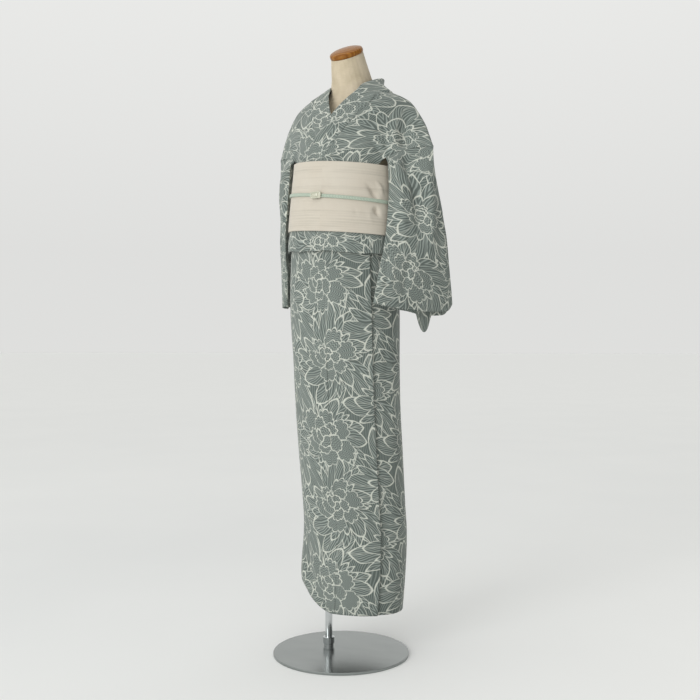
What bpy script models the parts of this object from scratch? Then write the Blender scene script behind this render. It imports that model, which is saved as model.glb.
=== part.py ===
"""A cotton yukata robe with its obi, worn on a limbless dress form on a steel stand.

Metres, +Z up. The wearer faces -Y, and the wearer's left is +X. The origin is where the pole's axis meets
the floor. Angles round the body are in degrees: 0 is the front, 90 the wearer's left, 180 the back.
"""
import math

import bmesh
import bpy
import numpy as np

# ---- cloth
CLOTH = 0.0012          # wall of the robe
COLLAR_CLOTH = 0.0018   # the collar is folded double
OBI_CLOTH = 0.0030      # two turns of a stiff woven band
SEAM = 0.0003           # gap between pieces that are sewn to each other
LAYER = 0.0010          # air between layers that lie on each other
LOOSE = 0.0015          # air between layers that cross at a slant

# ---- skirt: outer face of the outer layer, level by level
SKIRT_RINGS = (
    # z, centre_x, centre_y, half_width, half_depth
    (0.080, 0.0380, 0.0500, 0.1364, 0.1010),
    (0.190, 0.0380, 0.0640, 0.1386, 0.1025),
    (0.294, 0.0370, 0.0697, 0.1402, 0.1037),
    (0.372, 0.0350, 0.0642, 0.1408, 0.1042),
    (0.501, 0.0320, 0.0540, 0.1436, 0.1062),
    (0.631, 0.0290, 0.0448, 0.1443, 0.1068),
    (0.734, 0.0270, 0.0406, 0.1457, 0.1078),
    (0.853, 0.0255, 0.0350, 0.1490, 0.1095),
    (0.990, 0.0245, 0.0325, 0.1445, 0.1085),
    (1.080, 0.0245, 0.0325, 0.1385, 0.1050),
)
SKIRT_TOP = 1.066       # under the tuck
HEM = 0.104             # height of the hem along the front
HEM_LIFT, HEM_CURVE = 0.072, 1.35    # the hem climbs towards the front edge, on a curve of this power
HEM_CORNER = 0.014      # rounding at the corner itself
BACK_LIFT = 0.062       # the hem under the front edge climbs as well

# round the body, from the edge that shows at the front right to the edge that is wrapped inside
OKUMI_EDGE, OKUMI_SEAM, SIDE_TUCK, BACK_SEAM = -63.0, 3.0, 52.0, 180.0
RIGHT_SIDE, UNDER_SEAM, UNDER_EDGE = 308.0, 410.0, 460.0
TUCK_UNDER = 4.0        # degrees that the side tuck laps over the back panel
TUCK_DEPTH = 0.0050     # how deep the back panel starts under the side tuck
TUCK_FADE = 30.0        # degrees over which it comes out again
CORNER_FLARE = 0.008    # the front corner stands off a little near the hem
UNDER_FROM, UNDER_DEEPER = (272, 292), (320, 385)   # it goes under one layer, then under the tuck's depth

# ---- obi: its outer face, level by level
OBI_RINGS = (
    # z, centre_x, centre_y, half_width, half_depth
    (0.990, 0.0255, 0.0310, 0.1505, 0.1165),
    (1.050, 0.0255, 0.0305, 0.1515, 0.1170),
    (1.140, 0.0260, 0.0330, 0.1465, 0.1140),
    (1.220, 0.0275, 0.0358, 0.1412, 0.1105),
    (1.270, 0.0290, 0.0385, 0.1400, 0.1090),
)
OBI_BOTTOM, OBI_HEIGHT = 1.0530, 0.1740
OBI_SLOPE = -0.090      # the band sits lower on the wearer's left
BAND_REACH = 0.14       # the bands' slopes are taken over this half width of the body
OBI_END = (150.0, 196.0)  # the outer end laps over the band at the back

TUCK_BOTTOM = 1.003     # fold of the waist tuck
TUCK_SLOPE = -0.070
TUCK_TOP = 1.075
TUCK_WAVES = (
    # the fold's soft waves: height, radians a degree, start
    (0.0016, 0.10, 1.0),
    (0.0010, 0.27, 0.0),
)
TUCK_OUT, TUCK_HANG, TUCK_TURN = 0.2, 0.5, 0.75   # of its length: clear of the obi, at the fold, past it
TUCK_FOLD = 0.0020      # radius of the fold
TUCK_UP = 0.022         # how far it runs up again inside

# ---- bodice: the surface that the right front lies on
ROBE_INSET = 0.0120     # under the obi's outer face
CHEST_DROP = 0.010      # the cloth runs up over the shoulders from this far under the obi's top
BODICE_BOTTOM = 1.092
MIDDLE_X = 0.033        # the neck and shoulders are centred here
RIDGE_Y = 0.056
RIDGE_HALF = 0.225      # from the middle to the sleeve seam, along X
RIDGE_LEAN = 0.035      # the left shoulder reaches further out than the right one
RIDGE = (
    # from_middle, z
    (0.000, 1.437),
    (0.070, 1.430),
    (0.100, 1.419),
    (0.125, 1.407),
    (0.150, 1.394),
    (0.170, 1.379),
    (0.185, 1.359),
    (0.200, 1.332),
    (0.213, 1.302),
    (0.225, 1.266),
)
SHOULDER_SLOPE = -0.020
FRONT_REACH, BACK_REACH = 64.0, 118.0   # where the front and back edges of the armhole start, at the chest
BACK_ROUNDING = 0.72                    # under 1 the upper back is fuller than a quarter ellipse
NAPE_BULGE = 0.042                      # the back neck is pulled away from the nape
NAPE_TURNS, NAPE_HALF = (88, 120, 132, 180), 0.8   # turns where it begins, is full and ends; its reach in q
FRONT_FADE = (55, 88)                   # turns over which the two fronts come to lie in one surface

# ---- collar
COLLAR_WIDTH = 0.055
COLLAR_RISE = 0.0004    # the folded collar stands this much off the surface that the front lies on
NECK_RISE = 0.0022      # and this much more over the shoulders and behind the neck
COLLAR_SEAM = 0.0012    # from the collar's outer edge to the front's edge
NECK_TURNS = (40, 71)   # turns over which it comes to stand off the shoulders
V_POINT_Z = 1.344                       # where the two inner edges cross
V_SLOPE = {1: 1.46, -1: 2.05}           # how steeply each falls: the wearer's right one hugs the neck
NECK_HALF = 0.070
NECK_REACH = {                          # row by row, the collar lies closer on the wearer's right
    1: (1.0, 1.0, 1.0, 1.0, 1.0, 1.0),
    -1: (0.74, 0.84, 0.87, 0.88, 0.88, 0.88),
}
NECK_DROP = {1: 0.0, -1: 0.003}         # and a little lower
COLLAR_FRONT_LEVELS = (1.216, 1.252, 1.288, 1.318, 1.344, 1.378, 1.410)
COLLAR_NECK = (
    # inner_x, inner_y, inner_z, seam_q, seam_turn
    (0.0540, 0.0200, 1.4330, 0.500, 71.0),
    (0.0690, 0.0510, 1.4480, 0.530, 90.0),
    (0.0745, 0.0850, 1.4590, 0.450, 102.0),
    (0.0660, 0.1170, 1.4605, 0.300, 114.0),
    (0.0370, 0.1400, 1.4600, 0.150, 122.5),
    (0.0000, 0.1480, 1.4590, 0.000, 125.0),
)

# ---- sleeves: a flat loop at each level, from its inner front corner to its outer back fold
SLEEVE_LEFT = (
    # z, inner_x, inner_y, outer_x, outer_y, thickness, bow
    (0.800, 0.116, -0.048, 0.250, 0.146, 0.033, 0.004),
    (0.870, 0.120, -0.043, 0.248, 0.137, 0.034, 0.004),
    (0.960, 0.128, -0.028, 0.253, 0.110, 0.037, 0.006),
    (1.050, 0.136, -0.014, 0.254, 0.088, 0.041, 0.009),
    (1.140, 0.140, -0.003, 0.249, 0.074, 0.049, 0.010),
    (1.220, 0.134, 0.004, 0.243, 0.064, 0.062, 0.008),
    (1.300, 0.126, 0.004, 0.226, 0.056, 0.070, 0.004),
)
SLEEVE_RIGHT = (
    (0.800, 0.156, -0.012, 0.216, 0.112, 0.024, 0.004),
    (0.880, 0.156, -0.011, 0.216, 0.108, 0.026, 0.004),
    (0.960, 0.154, -0.009, 0.215, 0.100, 0.030, 0.005),
    (1.050, 0.150, -0.006, 0.214, 0.090, 0.034, 0.006),
    (1.140, 0.144, -0.002, 0.211, 0.078, 0.044, 0.006),
    (1.220, 0.136, 0.004, 0.213, 0.062, 0.060, 0.004),
    (1.300, 0.128, 0.004, 0.216, 0.056, 0.070, 0.002),
)
SLEEVE_BOTTOM = {"left": 0.855, "right": 0.872}
SLEEVE_CORNER = 0.016   # rounding of the outer lower corner
BAG_POINT = 0.042       # how far the bag's corner hangs below the opening
BAG_AT, BAG_HALF = 0.31, 0.185         # where it is across the sleeve, and how far it reaches to each side
BAG_ROUND = 2.0         # 1 is a sharp point
WRIST_BOW = {"left": 0.010, "right": 0.0}   # the opening's edge dips
BOW_AT = 0.35           # and is lowest here across the sleeve
BACK_DROP = 0.009       # the sleeve's back hangs lower than its front, towards the wrist
BAG_COLUMNS = (0.676, 0.709)    # extra columns of the sleeve, beside the bag's corner

ARMHOLE_SEAM = 0.003    # share of the shoulder's half width between the bodice and the sleeve
SLEEVE_START = {"left": 32.0, "right": 42.0}   # turn at which the armhole seam starts, clear of the obi
SLEEVE_BACK = 150.0     # the seam ends here at the back, in degrees round the loop; the rest is free
UNDERARM_SAG = 0.006    # the free edge under the arm sags
CLEAR_OF_BODY = 0.0085  # the inner corner hangs this far off the body
SLEEVE_GAP = 0.0020     # its front hangs this much further off, and its back this much less
OVER_TUCK = (0.955, 0.995)     # levels over which it comes to be clear of the waist tuck too
OVER_OBI, IN_OVER_OBI = (0.003, 0.025), 0.030   # above the obi's top it may come this far in again
SLEEVE_VALLEY, VALLEY_AT, VALLEY_HALF = 0.009, 0.10, 0.20   # a soft fold down the front of each sleeve

# ---- obi cord and clasp
CORD_WIDTH, CORD_THICK = 0.0088, 0.0026
CORD_CROWN = 0.0006     # it is this much thicker along its middle
CORD_CLIMB = 9          # degrees over which it climbs onto the obi's end
CORD_LEVEL, CORD_SLOPE = 1.1408, -0.132
CLASP_AT = -4.2
CLASP_SIZE = (0.030, 0.0032, 0.0165)
CLASP_EDGE = 0.0014     # rounding of its edges
CLASP_GAP = 0.0008      # it clears the cord's crown

# ---- dress form
FORM_SECTIONS = (
    # z, centre_x, centre_y, half_width, half_depth, tilt
    (0.680, 0.028, 0.044, 0.112, 0.078, 0.0),
    (0.686, 0.028, 0.044, 0.121, 0.086, 0.0),
    (0.700, 0.028, 0.043, 0.126, 0.089, 0.0),
    (0.780, 0.027, 0.038, 0.130, 0.091, 0.0),
    (0.853, 0.026, 0.035, 0.131, 0.092, 0.0),
    (0.950, 0.025, 0.033, 0.128, 0.092, 0.0),
    (1.050, 0.025, 0.032, 0.126, 0.092, 0.0),
    (1.140, 0.026, 0.034, 0.125, 0.093, 0.0),
    (1.220, 0.028, 0.037, 0.122, 0.090, 0.0),
    (1.280, 0.030, 0.040, 0.126, 0.084, 0.0),
    (1.330, 0.033, 0.045, 0.136, 0.070, 0.0),
    (1.354, 0.033, 0.050, 0.138, 0.060, 0.0),
    (1.374, 0.033, 0.054, 0.126, 0.052, 0.0),
    (1.389, 0.033, 0.058, 0.106, 0.050, 0.0),
    (1.401, 0.033, 0.063, 0.085, 0.052, 2.0),
    (1.414, 0.033, 0.067, 0.069, 0.056, 4.0),
    (1.431, 0.034, 0.066, 0.059, 0.057, 7.0),
    (1.460, 0.034, 0.057, 0.051, 0.053, 13.0),
    (1.489, 0.033, 0.046, 0.046, 0.048, 22.0),
    (1.516, 0.032, 0.037, 0.042, 0.044, 31.5),
)
CAP_RADIUS, CAP_THICK, CAP_DOME = 0.0438, 0.0090, 0.0100

# ---- stand
BASE_RADIUS, BASE_THICK, BASE_EDGE = 0.170, 0.006, 0.0012
BASE_CENTRE = (0.047, -0.018)
POLE_RADIUS = 0.0090
SOCKET_RADIUS, SOCKET_HEIGHT, SOCKET_FOOT = 0.0147, 0.030, 0.0125

COLOURS = {  # base colour, roughness, metallic
    "yukata cotton": ((0.24, 0.30, 0.27), 0.9, 0.0),
    "obi weave": ((0.62, 0.57, 0.47), 0.8, 0.0),
    "mint braid": ((0.45, 0.62, 0.50), 0.7, 0.0),
    "clasp": ((0.75, 0.74, 0.66), 0.35, 0.0),
    "linen": ((0.57, 0.49, 0.36), 0.9, 0.0),
    "wood": ((0.36, 0.21, 0.10), 0.45, 0.0),
    "steel": ((0.50, 0.52, 0.52), 0.3, 1.0),
}


# ---- numbers
def at_level(table, level):
    """The columns of a table after its first, at one level, on a smooth curve through the rows."""
    rows = np.array(table, float)
    levels, values = rows[:, 0], rows[:, 1:]
    level = min(max(level, levels[0]), levels[-1])
    k = min(max(int(np.searchsorted(levels, level)) - 1, 0), len(levels) - 2)
    slopes = np.gradient(values, levels, axis=0)
    step = levels[k + 1] - levels[k]
    t = (level - levels[k]) / step
    return (
        (1 + 2 * t) * (1 - t) ** 2 * values[k]
        + t * (1 - t) ** 2 * step * slopes[k]
        + t * t * (3 - 2 * t) * values[k + 1]
        + t * t * (t - 1) * step * slopes[k + 1]
    )


def ramp(x, start, end):
    """0 before start, 1 after end, and smooth between them."""
    t = min(max((x - start) / (end - start), 0.0), 1.0)
    return t * t * (3 - 2 * t)


def ring_point(rings, z, degrees, out=0.0):
    """A point on a body ring, moved outward along the ring's normal."""
    cx, cy, a, b = at_level(rings, z)
    s, c = math.sin(math.radians(degrees)), math.cos(math.radians(degrees))
    nx, ny = s / a, -c / b
    length = math.hypot(nx, ny)
    return np.array((cx + a * s + out * nx / length, cy - b * c + out * ny / length, z))


# ---- surfaces
def hem_height(degrees):
    """The hem climbs to a rounded corner at the front edge, and so does the layer under it."""
    front = max(degrees / OKUMI_EDGE, 0.0) ** HEM_CURVE
    corner = ramp(-degrees, 54, -OKUMI_EDGE) ** 2
    return HEM + HEM_LIFT * front + HEM_CORNER * corner + BACK_LIFT * ramp(degrees, 215, UNDER_FROM[1])


def skirt_offset(degrees, z, piece):
    """How far the wrapped cloth lies from the outer ring: inside it where another layer covers it."""
    if degrees > 250:
        inside = CLOTH + LAYER
        deeper = (TUCK_DEPTH + CLOTH + LAYER) * ramp(degrees, *UNDER_DEEPER)
        return -inside * ramp(degrees, *UNDER_FROM) - deeper
    if piece == "skirt_back_left":
        return -TUCK_DEPTH * (1 - ramp(degrees, SIDE_TUCK, SIDE_TUCK + TUCK_FADE))
    if piece == "skirt_okumi_left":
        return CORNER_FLARE * (1 - ramp(degrees, OKUMI_EDGE, -40)) * (1 - ramp(z, 0.19, 0.34))
    return 0.001 * ramp(degrees, SIDE_TUCK - 12, SIDE_TUCK)


def skirt_surface(piece, start, end):
    def surface(s, t):
        degrees = start + (end - start) * s
        low = hem_height(degrees)
        z = low + (SKIRT_TOP - low) * t
        return ring_point(SKIRT_RINGS, z, degrees, skirt_offset(degrees, z, piece))

    return surface


def band_level(bottom, slope, degrees):
    """Height of a tilted band's edge, lower on the wearer's left."""
    return bottom + slope * BAND_REACH * math.sin(math.radians(degrees))


def obi_surface(start, end, out=0.0, from_share=0.0, to_share=1.0):
    def surface(s, t):
        degrees = start + (end - start) * s
        share = from_share + (to_share - from_share) * t
        z = band_level(OBI_BOTTOM, OBI_SLOPE, degrees) + OBI_HEIGHT * share
        return ring_point(OBI_RINGS, z, degrees, out)

    return surface


def tuck_wave(degrees):
    return sum(height * math.sin(rate * degrees + begin) for height, rate, begin in TUCK_WAVES)


def tuck_surface(start, end):
    """The waist tuck: down outside from under the obi, round a fold, and up inside."""
    def surface(s, t):
        degrees = start + (end - start) * s
        fold = band_level(TUCK_BOTTOM, TUCK_SLOPE, degrees) + TUCK_FOLD + tuck_wave(degrees)
        edge = band_level(OBI_BOTTOM, OBI_SLOPE, degrees) - LAYER
        if t < TUCK_OUT:     # under the obi
            share = t / TUCK_OUT
            inside = OBI_CLOTH + LAYER * (2 - share)
            return ring_point(OBI_RINGS, TUCK_TOP + (edge - TUCK_TOP) * share, degrees, -inside)
        if t < TUCK_HANG:    # it comes out from under the obi and hangs to the fold
            share = (t - TUCK_OUT) / (TUCK_HANG - TUCK_OUT)
            inside = (OBI_CLOTH + LAYER) * (1 - ramp(share, 0.0, 2 / 3))
            return ring_point(OBI_RINGS, edge + (fold - edge) * share, degrees, -inside)
        if t < TUCK_TURN:    # the fold, half a turn
            turn = math.pi * (t - TUCK_HANG) / (TUCK_TURN - TUCK_HANG)
            out = -TUCK_FOLD * (1 - math.cos(turn))
            z = fold - TUCK_FOLD * math.sin(turn)
            return ring_point(OBI_RINGS, z, degrees, out)
        up = TUCK_UP * (t - TUCK_TURN) / (1 - TUCK_TURN)
        return ring_point(OBI_RINGS, fold + up, degrees, -2 * TUCK_FOLD)

    return surface


def ridge_point(q):
    """A point on the shoulder ridge: q is 0 at the neck's middle, and 1 and -1 at the sleeve seams."""
    x = RIDGE_HALF * q
    height = at_level(RIDGE, abs(x))[0] + SHOULDER_SLOPE * x
    return np.array((MIDDLE_X + x * (1 + RIDGE_LEAN * q**3), RIDGE_Y, height))


def chest_level(degrees):
    """The level under the obi's top from which the cloth runs up over the shoulders."""
    return band_level(OBI_BOTTOM, OBI_SLOPE, degrees) + OBI_HEIGHT - CHEST_DROP


def chest_point(degrees, out=0.0):
    return ring_point(OBI_RINGS, chest_level(degrees), degrees, out - ROBE_INSET)


def upper_point(q, turn, out=0.0):
    """A point on the cloth from the chest over the ridge: turn is 0 in front, 90 on it, 180 behind."""
    def place(q, turn):
        top = ridge_point(q)
        if turn <= 90:
            low = chest_point(FRONT_REACH * q)
            along, up = math.cos(math.radians(turn)), math.sin(math.radians(turn))
        else:
            low = chest_point(180 - (180 - BACK_REACH) * q)
            power = BACK_ROUNDING + (1 - BACK_ROUNDING) * abs(q) ** 2
            along = abs(math.cos(math.radians(turn))) ** power
            up = math.sin(math.radians(turn)) ** power
        flat = top[:2] + (low[:2] - top[:2]) * along
        if turn > 90:
            begin, full, less, end = NAPE_TURNS
            across = math.cos(math.pi / 2 * min(abs(q) / NAPE_HALF, 1)) ** 2
            flat[1] += NAPE_BULGE * across * ramp(turn, begin, full) * (1 - ramp(turn, less, end))
        return np.array((*flat, low[2] + (top[2] - low[2]) * up))

    point = place(q, turn)
    if out:
        e = 0.01
        across = place(q + e, turn) - place(q - e, turn)
        up = place(q, min(turn + 1, 180)) - place(q, max(turn - 1, 0))
        normal = np.cross(across, up)
        point = point + normal / np.linalg.norm(normal) * out
    return point


def front_from(x, z, side):
    """(q, turn) of the point of the front surface at this distance from the middle and this height."""
    low, high = -1.0, 1.0
    for _ in range(40):
        q = (low + high) / 2
        top, chest = ridge_point(q)[2], chest_level(FRONT_REACH * q)
        turn = math.degrees(math.asin(min(max((z - chest) / (top - chest), 0.0), 1.0)))
        if upper_point(q, turn)[0] - MIDDLE_X < x * side:
            low = q
        else:
            high = q
    return q, turn


def lies_over(q, side):
    """How far out a front lies: the left one passes over the right one and, near the middle, its collar."""
    if side < 0:
        return 0.0
    over_collar = ramp(q, -0.40, -0.24)
    return (CLOTH + LOOSE + (COLLAR_CLOTH + COLLAR_RISE - CLOTH) * over_collar) * (1 - ramp(q, 0.62, 0.95))


def collar_line_x(z, side):
    """Distance from the middle of the collar's inner edge on the front, negative past the crossing."""
    return (z - V_POINT_Z) / V_SLOPE[side]


def bodice_surface(side):
    """One body length from under the obi at the front, over the shoulder, to under the obi at the back."""
    chest, back = 0.10, 0.90   # of t

    def surface(s, t):
        if t < chest or t > back:        # under the obi, on its rings
            front = t < chest
            drop = (1 - t / chest) if front else (t - back) / (1 - back)
            if front:
                at_side = FRONT_REACH + (89.5 - FRONT_REACH) * min(drop * 2, 1)
                degrees = FRONT_REACH * bodice_inner(0.0, side)
                degrees += (at_side - degrees) * s
                out = lies_over(degrees / FRONT_REACH, side) + CLOTH
            else:
                at_side = BACK_REACH + (90.5 - BACK_REACH) * min(drop * 2, 1)
                degrees = 179.9 + (at_side - 179.9) * s
                out = CLOTH
            degrees *= side
            top = chest_level(degrees)
            return ring_point(OBI_RINGS, top + (BODICE_BOTTOM - top) * drop, degrees, out - ROBE_INSET)
        turn = 180 * (t - chest) / (back - chest)
        q_in = bodice_inner(turn, side)
        q = q_in + (1 - ARMHOLE_SEAM - q_in) * s
        out = CLOTH
        if turn < 90:
            out += lies_over(q, side) * (1 - ramp(turn, *FRONT_FADE))
        return upper_point(q * side, turn, out)

    return surface


def bodice_inner(turn, side):
    """q of the bodice's inner edge at this turn: along the collar, round the neck, down the back seam."""
    seam = COLLAR_SEAM / RIDGE_HALF
    neck_turns = [row[4] for row in COLLAR_NECK]
    neck = float(np.interp(turn, neck_turns, [row[3] for row in COLLAR_NECK])) + seam
    if turn >= 90:
        return neck if turn < neck_turns[-1] - 1 else seam / 2
    low, high = -1.0, 1.0
    for _ in range(30):
        q = (low + high) / 2
        point = upper_point(q * side, turn)
        x = (point[0] - MIDDLE_X) * side
        wide = (COLLAR_WIDTH + COLLAR_SEAM) * math.hypot(1, 1 / V_SLOPE[side])
        if x < collar_line_x(point[2], side) + wide:
            low = q
        else:
            high = q
    return q + (neck + seam - q) * ramp(turn, 62, 71)


def front_point(x, z, side, out):
    """The front at this distance from the middle, above the chest or under the obi."""
    cx, _, a, _ = at_level(OBI_RINGS, z)
    degrees = math.degrees(math.asin((MIDDLE_X + x * side - cx) / (a - ROBE_INSET)))
    if z < chest_level(degrees):
        return ring_point(OBI_RINGS, z, degrees, out - ROBE_INSET)
    q, turn = front_from(x, z, side)
    return upper_point(q, turn, out)


def collar_table():
    """Rows along the collar, from its right end under the left front to its left end: both its edges."""
    halves = []
    for side in (-1, 1):
        rows, slope = [], V_SLOPE[side]
        run = math.hypot(1, slope)
        for z in COLLAR_FRONT_LEVELS:
            x = collar_line_x(z, side)
            row = []
            for share in (0.0, 1.0):
                ex = x + share * COLLAR_WIDTH * slope / run
                ez = z - share * COLLAR_WIDTH / run
                q, turn = front_from(ex, ez, side)
                out = COLLAR_RISE + COLLAR_CLOTH + NECK_RISE * ramp(turn, *NECK_TURNS)
                out += lies_over(q * side, side) * (1 - ramp(turn, *FRONT_FADE))
                row.extend(front_point(ex, ez, side, out))
            rows.append(row)
        for (ix, iy, iz, q, turn), reach in zip(COLLAR_NECK, NECK_REACH[side]):
            seam = upper_point(q * side, turn, COLLAR_RISE + COLLAR_CLOTH + NECK_RISE)
            x = ix * reach
            rows.append([MIDDLE_X + x * side, iy, iz - NECK_DROP[side] * ix / NECK_HALF, *seam])
        halves.append(rows)
    joined = halves[0] + halves[1][:-1][::-1]
    return [(k, *row) for k, row in enumerate(joined)]


def collar_surface():
    table = collar_table()
    last = len(table) - 1

    def surface(s, t):
        values = at_level(table, s * last)
        inner, outer = values[:3], values[3:]
        return inner + (outer - inner) * t

    return surface, last


def sleeve_top(alpha, side):
    """The sleeve's top edge: along the armhole seam from front to back, then free under the arm."""
    start = SLEEVE_START["left" if side > 0 else "right"]
    if alpha >= -SLEEVE_BACK:
        share = math.cos(math.radians(alpha if alpha >= 0 else alpha * 180 / SLEEVE_BACK))
        rise = math.degrees(math.acos((1 - share) / 2))   # threads hang straight down from the seam
        turn = start + (90 - start) * rise / 90
        point = upper_point(side * 1.0, turn if alpha >= 0 else 180 - turn, CLOTH)
        return point + np.array((side * SEAM, 0, -SEAM))
    share = (-alpha - SLEEVE_BACK) / (180 - SLEEVE_BACK)
    first, last = sleeve_top(-SLEEVE_BACK, side), sleeve_top(180.0, side)
    point = first + (last - first) * share
    sag = UNDERARM_SAG * math.sin(math.pi * share)
    point[2] -= sag
    point[0] += side * sag
    return point


def sleeve_loop(alpha, z, side):
    """The flat loop of the hanging sleeve at one level."""
    inner_x, inner_y, outer_x, outer_y, thick, bow = at_level(SLEEVE_LEFT if side > 0 else SLEEVE_RIGHT, z)
    inner, outer = np.array((inner_x, inner_y)), np.array((outer_x, outer_y))
    along = outer - inner
    half = np.linalg.norm(along) / 2
    along = along / (2 * half)
    front = np.array((along[1], -along[0]))
    share = math.cos(math.radians(alpha))
    wave = math.sin(math.radians(alpha))
    off = math.copysign(thick / 2 * abs(wave) ** 0.65, wave) + bow * (1 - share * share)
    if wave > 0:
        off -= SLEEVE_VALLEY * math.exp(-(((share - VALLEY_AT) / VALLEY_HALF) ** 2)) * ramp(z, 1.02, 1.16)
    place = (inner + outer) / 2 + along * half * share + front * off
    return np.array((MIDDLE_X + side * place[0], place[1]))


def clear_of_body(place, z, wave):
    """The same place, or one outside the skirt, the tuck and the obi; the front hangs outside the back."""
    tucked = ramp(z, *OVER_TUCK)
    cx, cy, a, b = at_level(SKIRT_RINGS, z) * (1 - tucked) + at_level(OBI_RINGS, z) * tucked
    degrees = math.degrees(math.atan2(place[0] - cx, cy - place[1]))
    obi_top = band_level(OBI_BOTTOM, OBI_SLOPE, degrees) + OBI_HEIGHT
    clear = CLEAR_OF_BODY + SLEEVE_GAP * math.copysign(min(abs(wave) * 3, 1), wave)
    clear -= (CLEAR_OF_BODY + IN_OVER_OBI) * ramp(z - obi_top, *OVER_OBI)
    reach = math.hypot((place[0] - cx) / (a + clear), (place[1] - cy) / (b + clear))
    return place if reach >= 1 else np.array((cx, cy)) + (place - np.array((cx, cy))) / reach


def sleeve_bottom(alpha, side):
    """The wrist opening, rounded at its outer corner; behind it the bag's corner hangs in a point."""
    share, wave = math.cos(math.radians(alpha)), math.sin(math.radians(alpha))
    name = "left" if side > 0 else "right"
    low = SLEEVE_BOTTOM[name] + WRIST_BOW[name] * (share - BOW_AT) ** 2
    low += SLEEVE_CORNER * ramp(share, 0.72, 1.0) ** 2
    if wave < 0:
        low -= BACK_DROP * ramp(share, -0.2, 0.4) * ramp(-wave, 0.0, 0.3)
        corner = max(1 - (abs(share - BAG_AT) / BAG_HALF) ** BAG_ROUND, 0.0)
        low -= BAG_POINT * corner * ramp(-wave, 0.0, 0.5)
    return low


def sleeve_surface(side):
    def surface(s, t):
        alpha = 180 - 360 * s
        top, low = sleeve_top(alpha, side), sleeve_bottom(alpha, side)
        z = top[2] + (low - top[2]) * t
        outward = (1 + math.cos(math.radians(alpha))) / 2
        flat = top[:2] + (sleeve_loop(alpha, z, side) - top[:2]) * ramp(t, 0.0, 0.05 + 0.40 * outward)
        return np.array((*clear_of_body(flat, z, math.sin(math.radians(alpha))), z))

    return surface


def cord_out(degrees):
    """The cord lies on the obi, and at the back on its outer end."""
    first, last = OBI_END
    up = ramp(degrees, first - CORD_CLIMB, first - 1) * (1 - ramp(degrees, last + 1, last + CORD_CLIMB))
    return CORD_THICK + LAYER + (OBI_CLOTH + LAYER) * up


def cord_surface():
    def surface(s, t):
        degrees = 360 * s
        z = band_level(CORD_LEVEL, CORD_SLOPE, degrees) + CORD_WIDTH * (t - 0.5)
        crown = CORD_CROWN * (1 - (2 * t - 1) ** 2)
        return ring_point(OBI_RINGS, z, degrees, cord_out(degrees) + crown)

    return surface


# ---- meshes
def collection():
    made = bpy.data.collections.new("yukata robe on a dress form")
    bpy.context.scene.collection.children.link(made)
    return made


def material(name):
    found = bpy.data.materials.get(name)
    if found:
        return found
    colour, roughness, metallic = COLOURS[name]
    made = bpy.data.materials.new(name)
    made.use_nodes = True
    shader = made.node_tree.nodes["Principled BSDF"]
    shader.inputs["Base Color"].default_value = (*colour, 1)
    shader.inputs["Roughness"].default_value = roughness
    shader.inputs["Metallic"].default_value = metallic
    made.diffuse_color = (*colour, 1)
    return made


def finish(name, mesh, finish_name, home, smooth_angle=40):
    mesh.materials.append(material(finish_name))
    made = bpy.data.objects.new(name, mesh)
    home.objects.link(made)
    mesh.shade_smooth()
    mesh.set_sharp_from_angle(angle=math.radians(smooth_angle))
    return made


def wall(name, surface, across, along, thickness, finish_name, home, closed=False):
    """A wall of cloth whose outer face is surface(s, t), s and t from 0 to 1 at the given shares."""
    points = [surface(s, t) for t in along for s in across]
    wide, faces = len(across), []
    for j in range(len(along) - 1):
        for i in range(wide if closed else wide - 1):
            k = (i + 1) % wide
            faces.append((j * wide + i, j * wide + k, (j + 1) * wide + k, (j + 1) * wide + i))
    mesh = bpy.data.meshes.new(name)
    mesh.from_pydata([tuple(p) for p in points], [], faces)
    made = finish(name, mesh, finish_name, home)
    thick = made.modifiers.new("cloth", "SOLIDIFY")
    thick.thickness = thickness
    thick.offset = -1
    return made


def evenly(count, start=0.0, end=1.0):
    return list(np.linspace(start, end, count + 1))


def robe_skirt(home):
    panels = (
        ("skirt_okumi_left", OKUMI_EDGE, OKUMI_SEAM, 8),
        ("skirt_front_left", OKUMI_SEAM, SIDE_TUCK, 6),
        ("skirt_back_left", SIDE_TUCK - TUCK_UNDER, BACK_SEAM, 14),
        ("skirt_back_right", BACK_SEAM, RIGHT_SIDE, 14),
        ("skirt_front_right", RIGHT_SIDE, UNDER_SEAM, 10),
        ("skirt_okumi_right", UNDER_SEAM, UNDER_EDGE, 5),
    )
    seam = math.degrees(SEAM / 2 / SKIRT_RINGS[0][4])
    for name, start, end, columns in panels:
        surface = skirt_surface(name, start + seam, end - seam)
        wall(name, surface, evenly(columns), evenly(13), CLOTH, "yukata cotton", home)


def robe_tuck(home):
    for name, start, end, columns in (
        ("tuck_left", OKUMI_EDGE + 3, BACK_SEAM - 0.1, 24),
        ("tuck_right", BACK_SEAM + 0.1, 360 + OKUMI_EDGE + 2.6, 13),
    ):
        rows = [0.0] + evenly(2, TUCK_OUT, 2 * TUCK_OUT) + evenly(3, TUCK_HANG, TUCK_TURN) + [1.0]
        surface = tuck_surface(start, end)
        wall(name, lambda s, t: surface(s, 1 - t), evenly(columns), [1 - r for r in rows][::-1], CLOTH,
             "yukata cotton", home)


def robe_bodice(home):
    turns = (0, 9, 18, 28, 38, 48, 56, 63, 71, 80, 90, 102, 114, 122, 125, 137, 150, 165, 180)
    rows = [0.0, 0.05] + [0.10 + 0.80 * turn / 180 for turn in turns] + [0.95, 1.0]
    for name, side in (("bodice_left", 1), ("bodice_right", -1)):
        surface = bodice_surface(side)
        columns = evenly(13)
        if side > 0:
            wall(name, surface, columns, rows, CLOTH, "yukata cotton", home)
        else:
            wall(name, lambda s, t: surface(1 - s, t), columns, rows, CLOTH, "yukata cotton", home)


def robe_collar(home):
    surface, last = collar_surface()
    wall("collar", surface, evenly(last * 2), evenly(3), COLLAR_CLOTH, "yukata cotton", home)


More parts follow.
